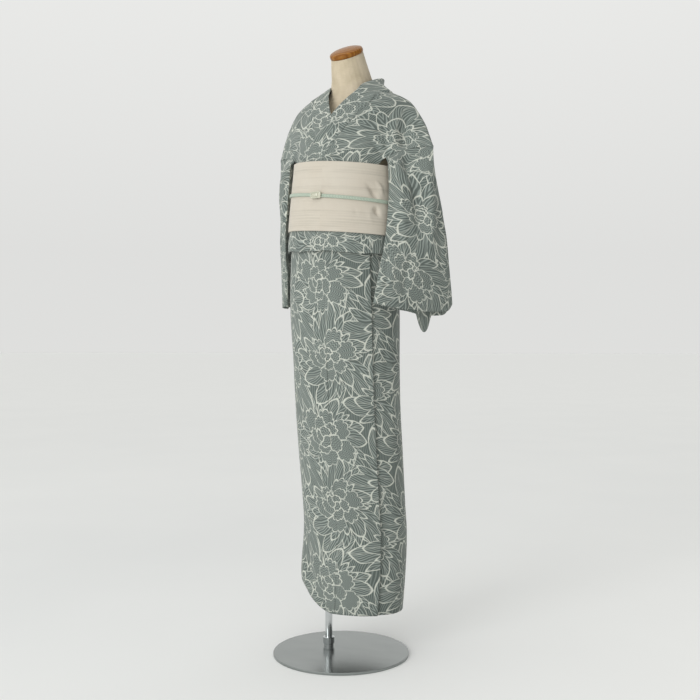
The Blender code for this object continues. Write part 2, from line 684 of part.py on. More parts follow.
def robe_sleeves(home):
    rows = [0.0, 0.02, 0.05, 0.09, 0.15, 0.22] + evenly(6, 0.32, 1.0)
    columns = sorted(evenly(26)[:-1] + list(BAG_COLUMNS))
    for name, side in (("sleeve_left", 1), ("sleeve_right", -1)):
        surface = sleeve_surface(side)
        if side > 0:
            wall(name, lambda s, t: surface(s, 1 - t), columns, [1 - r for r in rows][::-1], CLOTH,
                 "yukata cotton", home, closed=True)
        else:
            wall(name, surface, columns, rows, CLOTH, "yukata cotton", home, closed=True)


def obi_band(home):
    wall("obi", obi_surface(0, 360), evenly(40)[:-1], evenly(3), OBI_CLOTH, "obi weave", home, closed=True)
    end = obi_surface(*OBI_END, OBI_CLOTH + LAYER, 0.012, 0.988)
    wall("obi_end", end, evenly(6), evenly(2), OBI_CLOTH, "obi weave", home)
    around = evenly(54)[:-1]
    wall("obi_cord", cord_surface(), around, evenly(2), CORD_THICK, "mint braid", home, closed=True)


def obi_clasp(home):
    bpy.ops.mesh.primitive_cube_add(size=1)
    made = bpy.context.object
    made.name = made.data.name = "obi_clasp"
    for vertex in made.data.vertices:
        vertex.co = [share * size for share, size in zip(vertex.co, CLASP_SIZE)]
    z = band_level(CORD_LEVEL, CORD_SLOPE, CLASP_AT)
    out = cord_out(CLASP_AT) + CLASP_GAP + LAYER + CLASP_SIZE[1] / 2
    made.location = ring_point(OBI_RINGS, z, CLASP_AT, out)
    made.rotation_euler = (0, 0, math.radians(CLASP_AT * 0.75))
    edge = made.modifiers.new("rounded edges", "BEVEL")
    edge.width, edge.segments = CLASP_EDGE, 2
    settle(made, "clasp", home)


def settle(made, finish_name, home):
    """Moves a primitive to the part's collection and gives it its finish."""
    for old in list(made.users_collection):
        old.objects.unlink(made)
    home.objects.link(made)
    made.data.materials.append(material(finish_name))
    made.data.shade_smooth()
    made.data.set_sharp_from_angle(angle=math.radians(40))


def dress_form(home):
    """Sections from the flat underside to the tilted top of the neck, closed at both ends."""
    around, rings = 26, []
    mesh = bpy.data.meshes.new("form_torso")
    shape = bmesh.new()
    for z, cx, cy, a, b, tilt in FORM_SECTIONS:
        lean = math.radians(tilt)
        ring = []
        for k in range(around):
            turn = 2 * math.pi * k / around
            depth = -b * math.cos(turn)
            ring.append(shape.verts.new((cx + a * math.sin(turn), cy + depth * math.cos(lean),
                                         z + depth * math.sin(lean))))
        rings.append(ring)
    for low, high in zip(rings, rings[1:]):
        for k in range(around):
            j = (k + 1) % around
            shape.faces.new((low[k], low[j], high[j], high[k]))
    shape.faces.new(rings[0][::-1])
    shape.faces.new(rings[-1])
    shape.to_mesh(mesh)
    shape.free()
    finish("form_torso", mesh, "linen", home)


def turned(name, profile, steps, finish_name, home, ring=False):
    """A turned shape: the profile runs down its outer side; a ring's profile is closed."""
    mesh = bpy.data.meshes.new(name)
    edges = [(k, k + 1) for k in range(len(profile) - 1)] + ([(len(profile) - 1, 0)] if ring else [])
    mesh.from_pydata([(r, 0, z) for r, z in profile], edges, [])
    made = finish(name, mesh, finish_name, home)
    screw = made.modifiers.new("turned", "SCREW")
    screw.steps = screw.render_steps = steps
    screw.use_merge_vertices = True
    screw.merge_threshold = 0.00005
    return made


def form_cap(home):
    """A low wooden dome on the tilted top of the neck."""
    z, cx, cy, _, _, tilt = FORM_SECTIONS[-1]
    dome = [(CAP_RADIUS * 0.985 * math.sin(math.radians(d)),
             CAP_THICK + CAP_DOME * math.cos(math.radians(d))) for d in (0, 24, 48, 70, 82)]
    rim = [(CAP_RADIUS, CAP_THICK * 0.75), (CAP_RADIUS, CAP_THICK * 0.30), (CAP_RADIUS * 0.975, 0.0)]
    made = turned("form_cap", dome + rim + [(0.0, 0.0)], 28, "wood", home)
    lean = math.radians(tilt)
    lift = 0.0005
    made.location = (cx, cy - lift * math.sin(lean), z + lift * math.cos(lean))
    made.rotation_euler = (lean, 0, 0)


def stand(home):
    base = turned("stand_base", [(0.0, BASE_THICK), (BASE_RADIUS - BASE_EDGE, BASE_THICK),
                                 (BASE_RADIUS, BASE_THICK - BASE_EDGE), (BASE_RADIUS, BASE_EDGE / 2),
                                 (BASE_RADIUS - BASE_EDGE / 2, 0.0), (0.0, 0.0)], 60, "steel", home)
    base.location = (*BASE_CENTRE, 0)
    foot, bore = BASE_THICK + SEAM, POLE_RADIUS + SEAM
    turned("stand_socket", [(bore, SOCKET_HEIGHT), (SOCKET_RADIUS - 0.001, SOCKET_HEIGHT),
                            (SOCKET_RADIUS, SOCKET_HEIGHT - 0.001), (SOCKET_RADIUS, foot + 0.008),
                            (SOCKET_FOOT, foot + 0.006), (SOCKET_FOOT, foot), (bore, foot)],
           18, "steel", home, ring=True)
    top = FORM_SECTIONS[0][0] - SEAM
    profile = [(0.0, top), (POLE_RADIUS, top), (POLE_RADIUS, foot), (0.0, foot)]
    turned("stand_pole", profile, 24, "steel", home)


def clear_scene():
    for old in list(bpy.data.objects):
        bpy.data.objects.remove(old, do_unlink=True)


def build():
    clear_scene()
    home = collection()
    robe_skirt(home)
    robe_tuck(home)
    robe_bodice(home)
    robe_collar(home)
    robe_sleeves(home)
    obi_band(home)
    obi_clasp(home)
    dress_form(home)
    form_cap(home)
    stand(home)


build()
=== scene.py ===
"""The looks of a cotton yukata robe with its obi, worn on a limbless dress form on a steel stand.

Metres, +Z up. The wearer faces -Y, and the wearer's left is +X. Angles round the body are in degrees:
0 is the front, 90 the wearer's left, 180 the back. The cloth's surfaces follow the same tables as the solids;
each shell adds its folds, its print and its weave.
"""
import math
from bisect import bisect_right
from functools import lru_cache

import bmesh
import bpy
import numpy as np
from mathutils import Matrix, Vector


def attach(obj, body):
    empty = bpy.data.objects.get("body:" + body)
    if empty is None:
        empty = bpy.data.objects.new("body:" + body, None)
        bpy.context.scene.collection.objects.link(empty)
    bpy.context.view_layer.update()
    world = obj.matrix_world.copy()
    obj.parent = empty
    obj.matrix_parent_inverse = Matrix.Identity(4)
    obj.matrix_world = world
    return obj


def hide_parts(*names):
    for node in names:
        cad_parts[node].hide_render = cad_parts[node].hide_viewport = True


# ---- the level camera in front of the stand
CAMERA_AZIMUTH = math.radians(30)
CAMERA_SIDE, CAMERA_BACK, CAMERA_HEIGHT = 0.054, 2.439, 0.760
LENS, SENSOR = 49.17, 36.0
PICTURE = 700           # pixels across the picture, and up it

# ---- cloth
CLOTH = 0.0012          # wall of the robe
COLLAR_CLOTH = 0.0018   # the collar is folded double
OBI_CLOTH = 0.0030      # two turns of a stiff woven band
SEAM = -0.0002          # pieces that are sewn to each other just overlap
LAYER = 0.0010          # air between layers that lie on each other
LOOSE = 0.0015          # air between layers that cross at a slant

# ---- skirt: outer face of the outer layer, level by level
SKIRT_RINGS = (
    # z, centre_x, centre_y, half_width, half_depth
    (0.080, 0.0380, 0.0500, 0.1364, 0.1010),
    (0.190, 0.0380, 0.0640, 0.1386, 0.1025),
    (0.294, 0.0370, 0.0697, 0.1402, 0.1037),
    (0.372, 0.0350, 0.0642, 0.1408, 0.1042),
    (0.501, 0.0320, 0.0540, 0.1436, 0.1062),
    (0.631, 0.0290, 0.0448, 0.1443, 0.1068),
    (0.734, 0.0270, 0.0406, 0.1457, 0.1078),
    (0.853, 0.0255, 0.0350, 0.1490, 0.1095),
    (0.990, 0.0245, 0.0325, 0.1445, 0.1085),
    (1.080, 0.0245, 0.0325, 0.1385, 0.1050),
)
SKIRT_TOP = 1.066       # under the tuck
HEM = 0.104             # height of the hem along the front
HEM_LIFT, HEM_CURVE = 0.072, 1.35    # the hem climbs towards the front edge, on a curve of this power
HEM_CORNER = 0.014      # rounding at the corner itself
BACK_LIFT = 0.062       # the hem under the front edge climbs as well

# round the body, from the edge that shows at the front right to the edge that is wrapped inside
OKUMI_EDGE, OKUMI_SEAM, SIDE_TUCK, BACK_SEAM = -63.0, 3.0, 52.0, 180.0
RIGHT_SIDE, UNDER_SEAM, UNDER_EDGE = 308.0, 410.0, 460.0
TUCK_UNDER = 4.0        # degrees that the side tuck laps over the back panel
TUCK_DEPTH = 0.0050     # how deep the back panel starts under the side tuck
TUCK_FADE = 30.0        # degrees over which it comes out again
CORNER_FLARE = 0.008    # the front corner stands off a little near the hem
UNDER_FROM, UNDER_DEEPER = (272, 292), (320, 385)   # it goes under one layer, then under the tuck's depth

# ---- obi: its outer face, level by level
OBI_RINGS = (
    # z, centre_x, centre_y, half_width, half_depth
    (0.990, 0.0255, 0.0310, 0.1505, 0.1165),
    (1.050, 0.0255, 0.0305, 0.1515, 0.1170),
    (1.140, 0.0260, 0.0330, 0.1465, 0.1140),
    (1.220, 0.0275, 0.0358, 0.1412, 0.1105),
    (1.270, 0.0290, 0.0385, 0.1400, 0.1090),
)
OBI_BOTTOM, OBI_HEIGHT = 1.0530, 0.1740
OBI_SLOPE = -0.090      # the band sits lower on the wearer's left
BAND_REACH = 0.14       # the bands' slopes are taken over this half width of the body
OBI_END = (150.0, 196.0)  # the outer end laps over the band at the back

TUCK_BOTTOM = 1.003     # fold of the waist tuck
TUCK_SLOPE = -0.070
TUCK_TOP = 1.075
TUCK_WAVES = (
    # the fold's soft waves: height, radians a degree, start
    (0.0016, 0.10, 1.0),
    (0.0010, 0.27, 0.0),
)
TUCK_OUT, TUCK_HANG, TUCK_TURN = 0.2, 0.5, 0.75   # of its length: clear of the obi, at the fold, past it
TUCK_FOLD = 0.0020      # radius of the fold
TUCK_UP = 0.022         # how far it runs up again inside

# ---- bodice: the surface that the right front lies on
ROBE_INSET = 0.0120     # under the obi's outer face
CHEST_DROP = 0.010      # the cloth runs up over the shoulders from this far under the obi's top
BODICE_BOTTOM = 1.092
MIDDLE_X = 0.033        # the neck and shoulders are centred here
RIDGE_Y = 0.056
RIDGE_HALF = 0.225      # from the middle to the sleeve seam, along X
RIDGE_LEAN = 0.035      # the left shoulder reaches further out than the right one
RIDGE = (
    # from_middle, z
    (0.000, 1.437),
    (0.070, 1.430),
    (0.100, 1.419),
    (0.125, 1.407),
    (0.150, 1.394),
    (0.170, 1.379),
    (0.185, 1.359),
    (0.200, 1.332),
    (0.213, 1.302),
    (0.225, 1.266),
)
SHOULDER_SLOPE = -0.020
FRONT_REACH, BACK_REACH = 64.0, 118.0   # where the front and back edges of the armhole start, at the chest
BACK_ROUNDING = 0.72                    # under 1 the upper back is fuller than a quarter ellipse
NAPE_BULGE = 0.042                      # the back neck is pulled away from the nape
NAPE_TURNS, NAPE_HALF = (88, 120, 132, 180), 0.8   # turns where it begins, is full and ends; its reach in q
FRONT_FADE = (55, 88)                   # turns over which the two fronts come to lie in one surface

# ---- collar
COLLAR_WIDTH = 0.055
COLLAR_RISE = 0.0004    # the folded collar stands this much off the surface that the front lies on
NECK_RISE = 0.0006      # and this much more over the shoulders and behind the neck
COLLAR_SEAM = -0.0050   # the front runs on under the collar's outer edge
NECK_TURNS = (40, 71)   # turns over which it comes to stand off the shoulders
V_POINT_Z = 1.344                       # where the two inner edges cross
V_SLOPE = {1: 1.46, -1: 2.05}           # how steeply each falls: the wearer's right one hugs the neck
NECK_HALF = 0.070
NECK_REACH = {                          # row by row, the collar lies closer on the wearer's right
    1: (1.0, 1.0, 1.0, 1.0, 1.0, 1.0),
    -1: (0.74, 0.84, 0.87, 0.88, 0.88, 0.88),
}
NECK_DROP = {1: 0.0, -1: 0.003}         # and a little lower
COLLAR_FRONT_LEVELS = (1.216, 1.252, 1.288, 1.318, 1.344, 1.378, 1.410)
COLLAR_NECK = (
    # inner_x, inner_y, inner_z, seam_q, seam_turn
    (0.0540, 0.0200, 1.4330, 0.500, 71.0),
    (0.0690, 0.0510, 1.4480, 0.530, 90.0),
    (0.0745, 0.0850, 1.4590, 0.450, 102.0),
    (0.0660, 0.1170, 1.4605, 0.300, 114.0),
    (0.0370, 0.1400, 1.4600, 0.150, 122.5),
    (0.0000, 0.1480, 1.4590, 0.000, 125.0),
)

# ---- sleeves: a flat loop at each level, from its inner front corner to its outer back fold
SLEEVE_LEFT = (
    # z, inner_x, inner_y, outer_x, outer_y, thickness, bow
    (0.800, 0.116, -0.048, 0.250, 0.146, 0.033, 0.004),
    (0.870, 0.120, -0.043, 0.248, 0.137, 0.034, 0.004),
    (0.960, 0.128, -0.028, 0.253, 0.110, 0.037, 0.006),
    (1.050, 0.136, -0.014, 0.254, 0.088, 0.041, 0.009),
    (1.140, 0.140, -0.003, 0.249, 0.074, 0.049, 0.010),
    (1.220, 0.134, 0.004, 0.243, 0.064, 0.062, 0.008),
    (1.300, 0.126, 0.004, 0.226, 0.056, 0.070, 0.004),
)
SLEEVE_RIGHT = (
    (0.800, 0.156, -0.012, 0.216, 0.112, 0.024, 0.004),
    (0.880, 0.156, -0.011, 0.216, 0.108, 0.026, 0.004),
    (0.960, 0.154, -0.009, 0.215, 0.100, 0.030, 0.005),
    (1.050, 0.150, -0.006, 0.214, 0.090, 0.034, 0.006),
    (1.140, 0.144, -0.002, 0.211, 0.078, 0.044, 0.006),
    (1.220, 0.136, 0.004, 0.213, 0.062, 0.060, 0.004),
    (1.300, 0.128, 0.004, 0.216, 0.056, 0.070, 0.002),
)
SLEEVE_BOTTOM = {"left": 0.855, "right": 0.872}
SLEEVE_CORNER = 0.016   # rounding of the outer lower corner
BAG_POINT = 0.042       # how far the bag's corner hangs below the opening
BAG_AT, BAG_HALF = 0.31, 0.185         # where it is across the sleeve, and how far it reaches to each side
BAG_ROUND = 2.0         # 1 is a sharp point
WRIST_BOW = {"left": 0.010, "right": 0.0}   # the opening's edge dips
BOW_AT = 0.35           # and is lowest here across the sleeve
BACK_DROP = 0.009       # the sleeve's back hangs lower than its front, towards the wrist

ARMHOLE_SEAM = -0.004   # the shoulder runs on over the sleeve's top, by this share of its half width
SLEEVE_UNDER = 0.0020   # how far the sleeve's top runs up under the shoulder
SLEEVE_START = {"left": 32.0, "right": 42.0}   # turn at which the armhole seam starts, clear of the obi
SLEEVE_BACK = 150.0     # the seam ends here at the back, in degrees round the loop; the rest is free
UNDERARM_SAG = 0.006    # the free edge under the arm sags
CLEAR_OF_BODY = 0.0085  # the inner corner hangs this far off the body
SLEEVE_GAP = 0.0020     # its front hangs this much further off, and its back this much less
OVER_TUCK = (0.955, 0.995)     # levels over which it comes to be clear of the waist tuck too
OVER_OBI, IN_OVER_OBI = (0.003, 0.025), 0.030   # above the obi's top it may come this far in again
SLEEVE_VALLEY, VALLEY_AT, VALLEY_HALF = 0.009, 0.10, 0.20   # a soft fold down the front of each sleeve

# ---- obi cord and clasp
CORD_WIDTH, CORD_THICK = 0.0088, 0.0026
CORD_CLIMB = 9          # degrees over which it climbs onto the obi's end
CORD_LEVEL, CORD_SLOPE = 1.1408, -0.132
CLASP_AT = -4.2
CLASP_SIZE = (0.030, 0.0032, 0.0165)
CLASP_GAP = 0.0008      # it clears the cord


# ---- numbers
@lru_cache(maxsize=None)
def curve_of(table):
    """Levels, values and slopes of a table's rows."""
    rows = np.array(table, float)
    return rows[:, 0].tolist(), rows[:, 1:], np.gradient(rows[:, 1:], rows[:, 0], axis=0)


def at_level(table, level):
    """The columns of a table after its first, at one level, on a smooth curve through the rows."""
    levels, values, slopes = curve_of(table)
    level = min(max(level, levels[0]), levels[-1])
    k = min(max(bisect_right(levels, level) - 1, 0), len(levels) - 2)
    step = levels[k + 1] - levels[k]
    t = (level - levels[k]) / step
    return (
        (1 + 2 * t) * (1 - t) ** 2 * values[k]
        + t * (1 - t) ** 2 * step * slopes[k]
        + t * t * (3 - 2 * t) * values[k + 1]
        + t * t * (t - 1) * step * slopes[k + 1]
    )


def ramp(x, start, end):
    """0 before start, 1 after end, and smooth between them."""
    t = min(max((x - start) / (end - start), 0.0), 1.0)
    return t * t * (3 - 2 * t)


def ring_point(rings, z, degrees, out=0.0):
    """A point on a body ring, moved outward along the ring's normal."""
    cx, cy, a, b = at_level(rings, z)
    s, c = math.sin(math.radians(degrees)), math.cos(math.radians(degrees))
    nx, ny = s / a, -c / b
    length = math.hypot(nx, ny)
    return np.array((cx + a * s + out * nx / length, cy - b * c + out * ny / length, z))


# ---- surfaces
def hem_height(degrees):
    """The hem climbs to a rounded corner at the front edge, and so does the layer under it."""
    front = max(degrees / OKUMI_EDGE, 0.0) ** HEM_CURVE
    corner = ramp(-degrees, 54, -OKUMI_EDGE) ** 2
    return HEM + HEM_LIFT * front + HEM_CORNER * corner + BACK_LIFT * ramp(degrees, 215, UNDER_FROM[1])


def skirt_offset(degrees, z, piece):
    """How far the wrapped cloth lies from the outer ring: inside it where another layer covers it."""
    if degrees > 250:
        inside = CLOTH + LAYER
        deeper = (TUCK_DEPTH + CLOTH + LAYER) * ramp(degrees, *UNDER_DEEPER)
        return -inside * ramp(degrees, *UNDER_FROM) - deeper
    if piece == "skirt_back_left":
        return -TUCK_DEPTH * (1 - ramp(degrees, SIDE_TUCK, SIDE_TUCK + TUCK_FADE))
    if piece == "skirt_okumi_left":
        return CORNER_FLARE * (1 - ramp(degrees, OKUMI_EDGE, -40)) * (1 - ramp(z, 0.19, 0.34))
    return 0.001 * ramp(degrees, SIDE_TUCK - 12, SIDE_TUCK)


def skirt_surface(piece, start, end):
    def surface(s, t):
        degrees = start + (end - start) * s
        low = hem_height(degrees)
        z = low + (SKIRT_TOP - low) * t
        return ring_point(SKIRT_RINGS, z, degrees, skirt_offset(degrees, z, piece))

    return surface


def band_level(bottom, slope, degrees):
    """Height of a tilted band's edge, lower on the wearer's left."""
    return bottom + slope * BAND_REACH * math.sin(math.radians(degrees))


def obi_surface(start, end, out=0.0, from_share=0.0, to_share=1.0):
    def surface(s, t):
        degrees = start + (end - start) * s
        share = from_share + (to_share - from_share) * t
        z = band_level(OBI_BOTTOM, OBI_SLOPE, degrees) + OBI_HEIGHT * share
        return ring_point(OBI_RINGS, z, degrees, out)

    return surface


def tuck_wave(degrees):
    return sum(height * math.sin(rate * degrees + begin) for height, rate, begin in TUCK_WAVES)


def tuck_surface(start, end):
    """The waist tuck: down outside from under the obi, round a fold, and up inside."""
    def surface(s, t):
        degrees = start + (end - start) * s
        fold = band_level(TUCK_BOTTOM, TUCK_SLOPE, degrees) + TUCK_FOLD + tuck_wave(degrees)
        edge = band_level(OBI_BOTTOM, OBI_SLOPE, degrees) - LAYER
        if t < TUCK_OUT:     # under the obi
            share = t / TUCK_OUT
            inside = OBI_CLOTH + LAYER * (2 - share)
            return ring_point(OBI_RINGS, TUCK_TOP + (edge - TUCK_TOP) * share, degrees, -inside)
        if t < TUCK_HANG:    # it comes out from under the obi and hangs to the fold
            share = (t - TUCK_OUT) / (TUCK_HANG - TUCK_OUT)
            inside = (OBI_CLOTH + LAYER) * (1 - ramp(share, 0.0, 2 / 3))
            return ring_point(OBI_RINGS, edge + (fold - edge) * share, degrees, -inside)
        if t < TUCK_TURN:    # the fold, half a turn
            turn = math.pi * (t - TUCK_HANG) / (TUCK_TURN - TUCK_HANG)
            out = -TUCK_FOLD * (1 - math.cos(turn))
            z = fold - TUCK_FOLD * math.sin(turn)
            return ring_point(OBI_RINGS, z, degrees, out)
        up = TUCK_UP * (t - TUCK_TURN) / (1 - TUCK_TURN)
        return ring_point(OBI_RINGS, fold + up, degrees, -2 * TUCK_FOLD)

    return surface


def ridge_point(q):
    """A point on the shoulder ridge: q is 0 at the neck's middle, and 1 and -1 at the sleeve seams."""
    x = RIDGE_HALF * q
    height = at_level(RIDGE, abs(x))[0] + SHOULDER_SLOPE * x
    return np.array((MIDDLE_X + x * (1 + RIDGE_LEAN * q**3), RIDGE_Y, height))


def chest_level(degrees):
    """The level under the obi's top from which the cloth runs up over the shoulders."""
    return band_level(OBI_BOTTOM, OBI_SLOPE, degrees) + OBI_HEIGHT - CHEST_DROP


def chest_point(degrees, out=0.0):
    return ring_point(OBI_RINGS, chest_level(degrees), degrees, out - ROBE_INSET)


def upper_point(q, turn, out=0.0):
    """A point on the cloth from the chest over the ridge: turn is 0 in front, 90 on it, 180 behind."""
    def place(q, turn):
        top = ridge_point(q)
        if turn <= 90:
            low = chest_point(FRONT_REACH * q)
            along, up = math.cos(math.radians(turn)), math.sin(math.radians(turn))
        else:
            low = chest_point(180 - (180 - BACK_REACH) * q)
            power = BACK_ROUNDING + (1 - BACK_ROUNDING) * abs(q) ** 2
            along = abs(math.cos(math.radians(turn))) ** power
            up = math.sin(math.radians(turn)) ** power
        flat = top[:2] + (low[:2] - top[:2]) * along
        if turn > 90:
            begin, full, less, end = NAPE_TURNS
            across = math.cos(math.pi / 2 * min(abs(q) / NAPE_HALF, 1)) ** 2
            flat[1] += NAPE_BULGE * across * ramp(turn, begin, full) * (1 - ramp(turn, less, end))
        return np.array((*flat, low[2] + (top[2] - low[2]) * up))

    point = place(q, turn)
    if out:
        e = 0.01
        across = place(q + e, turn) - place(q - e, turn)
        up = place(q, min(turn + 1, 180)) - place(q, max(turn - 1, 0))
        normal = np.cross(across, up)
        point = point + normal / np.linalg.norm(normal) * out
    return point


def front_from(x, z, side):
    """(q, turn) of the point of the front surface at this distance from the middle and this height."""
    low, high = -1.0, 1.0
    for _ in range(40):
        q = (low + high) / 2
        top, chest = ridge_point(q)[2], chest_level(FRONT_REACH * q)
        turn = math.degrees(math.asin(min(max((z - chest) / (top - chest), 0.0), 1.0)))
        if upper_point(q, turn)[0] - MIDDLE_X < x * side:
            low = q
        else:
            high = q
    return q, turn


def lies_over(q, side):
    """How far out a front lies: the left one passes over the right one and, near the middle, its collar."""
    if side < 0:
        return 0.0
    over_collar = ramp(q, -0.40, -0.24)
    return (CLOTH + LOOSE + (COLLAR_CLOTH + COLLAR_RISE - CLOTH) * over_collar) * (1 - ramp(q, 0.62, 0.95))


def collar_line_x(z, side):
    """Distance from the middle of the collar's inner edge on the front, negative past the crossing."""
    return (z - V_POINT_Z) / V_SLOPE[side]


def bodice_surface(side):
    """One body length from under the obi at the front, over the shoulder, to under the obi at the back."""
    chest, back = 0.10, 0.90   # of t

    def surface(s, t):
        if t < chest or t > back:        # under the obi, on its rings
            front = t < chest
            drop = (1 - t / chest) if front else (t - back) / (1 - back)
            if front:
                at_side = FRONT_REACH + (89.5 - FRONT_REACH) * min(drop * 2, 1)
                degrees = FRONT_REACH * bodice_inner(0.0, side)
                degrees += (at_side - degrees) * s
                out = lies_over(degrees / FRONT_REACH, side) + CLOTH
            else:
                at_side = BACK_REACH + (90.5 - BACK_REACH) * min(drop * 2, 1)
                degrees = 179.9 + (at_side - 179.9) * s
                out = CLOTH
            degrees *= side
            top = chest_level(degrees)
            return ring_point(OBI_RINGS, top + (BODICE_BOTTOM - top) * drop, degrees, out - ROBE_INSET)
        turn = 180 * (t - chest) / (back - chest)
        q_in = bodice_inner(turn, side)
        q = q_in + (1 - ARMHOLE_SEAM - q_in) * s
        out = CLOTH
        if turn < 90:
            out += lies_over(q, side) * (1 - ramp(turn, *FRONT_FADE))
        return upper_point(q * side, turn, out)

    return surface


@lru_cache(maxsize=None)
def bodice_inner(turn, side):
    """q of the bodice's inner edge at this turn: along the collar, round the neck, down the back seam."""
    seam = COLLAR_SEAM / RIDGE_HALF
    neck_turns = [row[4] for row in COLLAR_NECK]
    neck = float(np.interp(turn, neck_turns, [row[3] for row in COLLAR_NECK])) + seam
    if turn >= 90:
        return neck if turn < neck_turns[-1] - 1 else 0.0004
    low, high = -1.0, 1.0
    for _ in range(30):
        q = (low + high) / 2
        point = upper_point(q * side, turn)
        x = (point[0] - MIDDLE_X) * side
        wide = (COLLAR_WIDTH + COLLAR_SEAM) * math.hypot(1, 1 / V_SLOPE[side])
        if x < collar_line_x(point[2], side) + wide:
            low = q
        else:
            high = q
    return q + (neck + seam - q) * ramp(turn, 62, 71)


def front_point(x, z, side, out):
    """The front at this distance from the middle, above the chest or under the obi."""
    cx, _, a, _ = at_level(OBI_RINGS, z)
    degrees = math.degrees(math.asin((MIDDLE_X + x * side - cx) / (a - ROBE_INSET)))
    if z < chest_level(degrees):
        return ring_point(OBI_RINGS, z, degrees, out - ROBE_INSET)
    q, turn = front_from(x, z, side)
    return upper_point(q, turn, out)


def collar_table():
    """Rows along the collar, from its right end under the left front to its left end: both its edges."""
    halves = []
    for side in (-1, 1):
        rows, slope = [], V_SLOPE[side]
        run = math.hypot(1, slope)
        for z in COLLAR_FRONT_LEVELS:
            x = collar_line_x(z, side)
            row = []
            for share in (0.0, 1.0):
                ex = x + share * COLLAR_WIDTH * slope / run
                ez = z - share * COLLAR_WIDTH / run
                q, turn = front_from(ex, ez, side)
                out = COLLAR_RISE + COLLAR_CLOTH + NECK_RISE * ramp(turn, *NECK_TURNS)
                out += lies_over(q * side, side) * (1 - ramp(turn, *FRONT_FADE))
                row.extend(front_point(ex, ez, side, out))
            rows.append(row)
        for (ix, iy, iz, q, turn), reach in zip(COLLAR_NECK, NECK_REACH[side]):
            seam = upper_point(q * side, turn, COLLAR_RISE + COLLAR_CLOTH + NECK_RISE)
            x = ix * reach
            rows.append([MIDDLE_X + x * side, iy, iz - NECK_DROP[side] * ix / NECK_HALF, *seam])
        halves.append(rows)
    joined = halves[0] + halves[1][:-1][::-1]
    return tuple((k, *map(float, row)) for k, row in enumerate(joined))


def collar_surface():
    table = collar_table()
    last = len(table) - 1

    def surface(s, t):
        values = at_level(table, s * last)
        inner, outer = values[:3], values[3:]
        return inner + (outer - inner) * t

    return surface, last


def sleeve_top(alpha, side):
    """The sleeve's top edge: along the armhole seam from front to back, then free under the arm."""
    start = SLEEVE_START["left" if side > 0 else "right"]
    if alpha >= -SLEEVE_BACK:
        share = math.cos(math.radians(alpha if alpha >= 0 else alpha * 180 / SLEEVE_BACK))
        rise = math.degrees(math.acos((1 - share) / 2))   # threads hang straight down from the seam
        turn = start + (90 - start) * rise / 90
        point = upper_point(side * 1.0, turn if alpha >= 0 else 180 - turn, CLOTH)
        return point + np.array((0, 0, SLEEVE_UNDER))
    share = (-alpha - SLEEVE_BACK) / (180 - SLEEVE_BACK)
    first, last = sleeve_top(-SLEEVE_BACK, side), sleeve_top(180.0, side)
    point = first + (last - first) * share
    sag = UNDERARM_SAG * math.sin(math.pi * share)
    point[2] -= sag
    point[0] += side * sag
    return point


def sleeve_loop(alpha, z, side):
    """The flat loop of the hanging sleeve at one level."""
    inner_x, inner_y, outer_x, outer_y, thick, bow = at_level(SLEEVE_LEFT if side > 0 else SLEEVE_RIGHT, z)
    inner, outer = np.array((inner_x, inner_y)), np.array((outer_x, outer_y))
    along = outer - inner
    half = np.linalg.norm(along) / 2
    along = along / (2 * half)
    front = np.array((along[1], -along[0]))
    share = math.cos(math.radians(alpha))
    wave = math.sin(math.radians(alpha))
    off = math.copysign(thick / 2 * abs(wave) ** 0.65, wave) + bow * (1 - share * share)
    if wave > 0:
        off -= SLEEVE_VALLEY * math.exp(-(((share - VALLEY_AT) / VALLEY_HALF) ** 2)) * ramp(z, 1.02, 1.16)
    place = (inner + outer) / 2 + along * half * share + front * off
    return np.array((MIDDLE_X + side * place[0], place[1]))


def clear_of_body(place, z, wave):
    """The same place, or one outside the skirt, the tuck and the obi; the front hangs outside the back."""
    tucked = ramp(z, *OVER_TUCK)
    cx, cy, a, b = at_level(SKIRT_RINGS, z) * (1 - tucked) + at_level(OBI_RINGS, z) * tucked
    degrees = math.degrees(math.atan2(place[0] - cx, cy - place[1]))
    obi_top = band_level(OBI_BOTTOM, OBI_SLOPE, degrees) + OBI_HEIGHT
    clear = CLEAR_OF_BODY + SLEEVE_GAP * math.copysign(min(abs(wave) * 3, 1), wave)
    clear -= (CLEAR_OF_BODY + IN_OVER_OBI) * ramp(z - obi_top, *OVER_OBI)
    reach = math.hypot((place[0] - cx) / (a + clear), (place[1] - cy) / (b + clear))
    return place if reach >= 1 else np.array((cx, cy)) + (place - np.array((cx, cy))) / reach


def sleeve_bottom(alpha, side):
    """The wrist opening, rounded at its outer corner; behind it the bag's corner hangs in a point."""
    share, wave = math.cos(math.radians(alpha)), math.sin(math.radians(alpha))
    name = "left" if side > 0 else "right"
    low = SLEEVE_BOTTOM[name] + WRIST_BOW[name] * (share - BOW_AT) ** 2
    low += SLEEVE_CORNER * ramp(share, 0.72, 1.0) ** 2
    if wave < 0:
        low -= BACK_DROP * ramp(share, -0.2, 0.4) * ramp(-wave, 0.0, 0.3)
        corner = max(1 - (abs(share - BAG_AT) / BAG_HALF) ** BAG_ROUND, 0.0)
        low -= BAG_POINT * corner * ramp(-wave, 0.0, 0.5)
    return low


def sleeve_surface(side):
    def surface(s, t):
        alpha = 180 - 360 * s
        top, low = sleeve_top(alpha, side), sleeve_bottom(alpha, side)
        z = top[2] + (low - top[2]) * t
        outward = (1 + math.cos(math.radians(alpha))) / 2
        flat = top[:2] + (sleeve_loop(alpha, z, side) - top[:2]) * ramp(t, 0.0, 0.05 + 0.40 * outward)
        return np.array((*clear_of_body(flat, z, math.sin(math.radians(alpha))), z))

    return surface


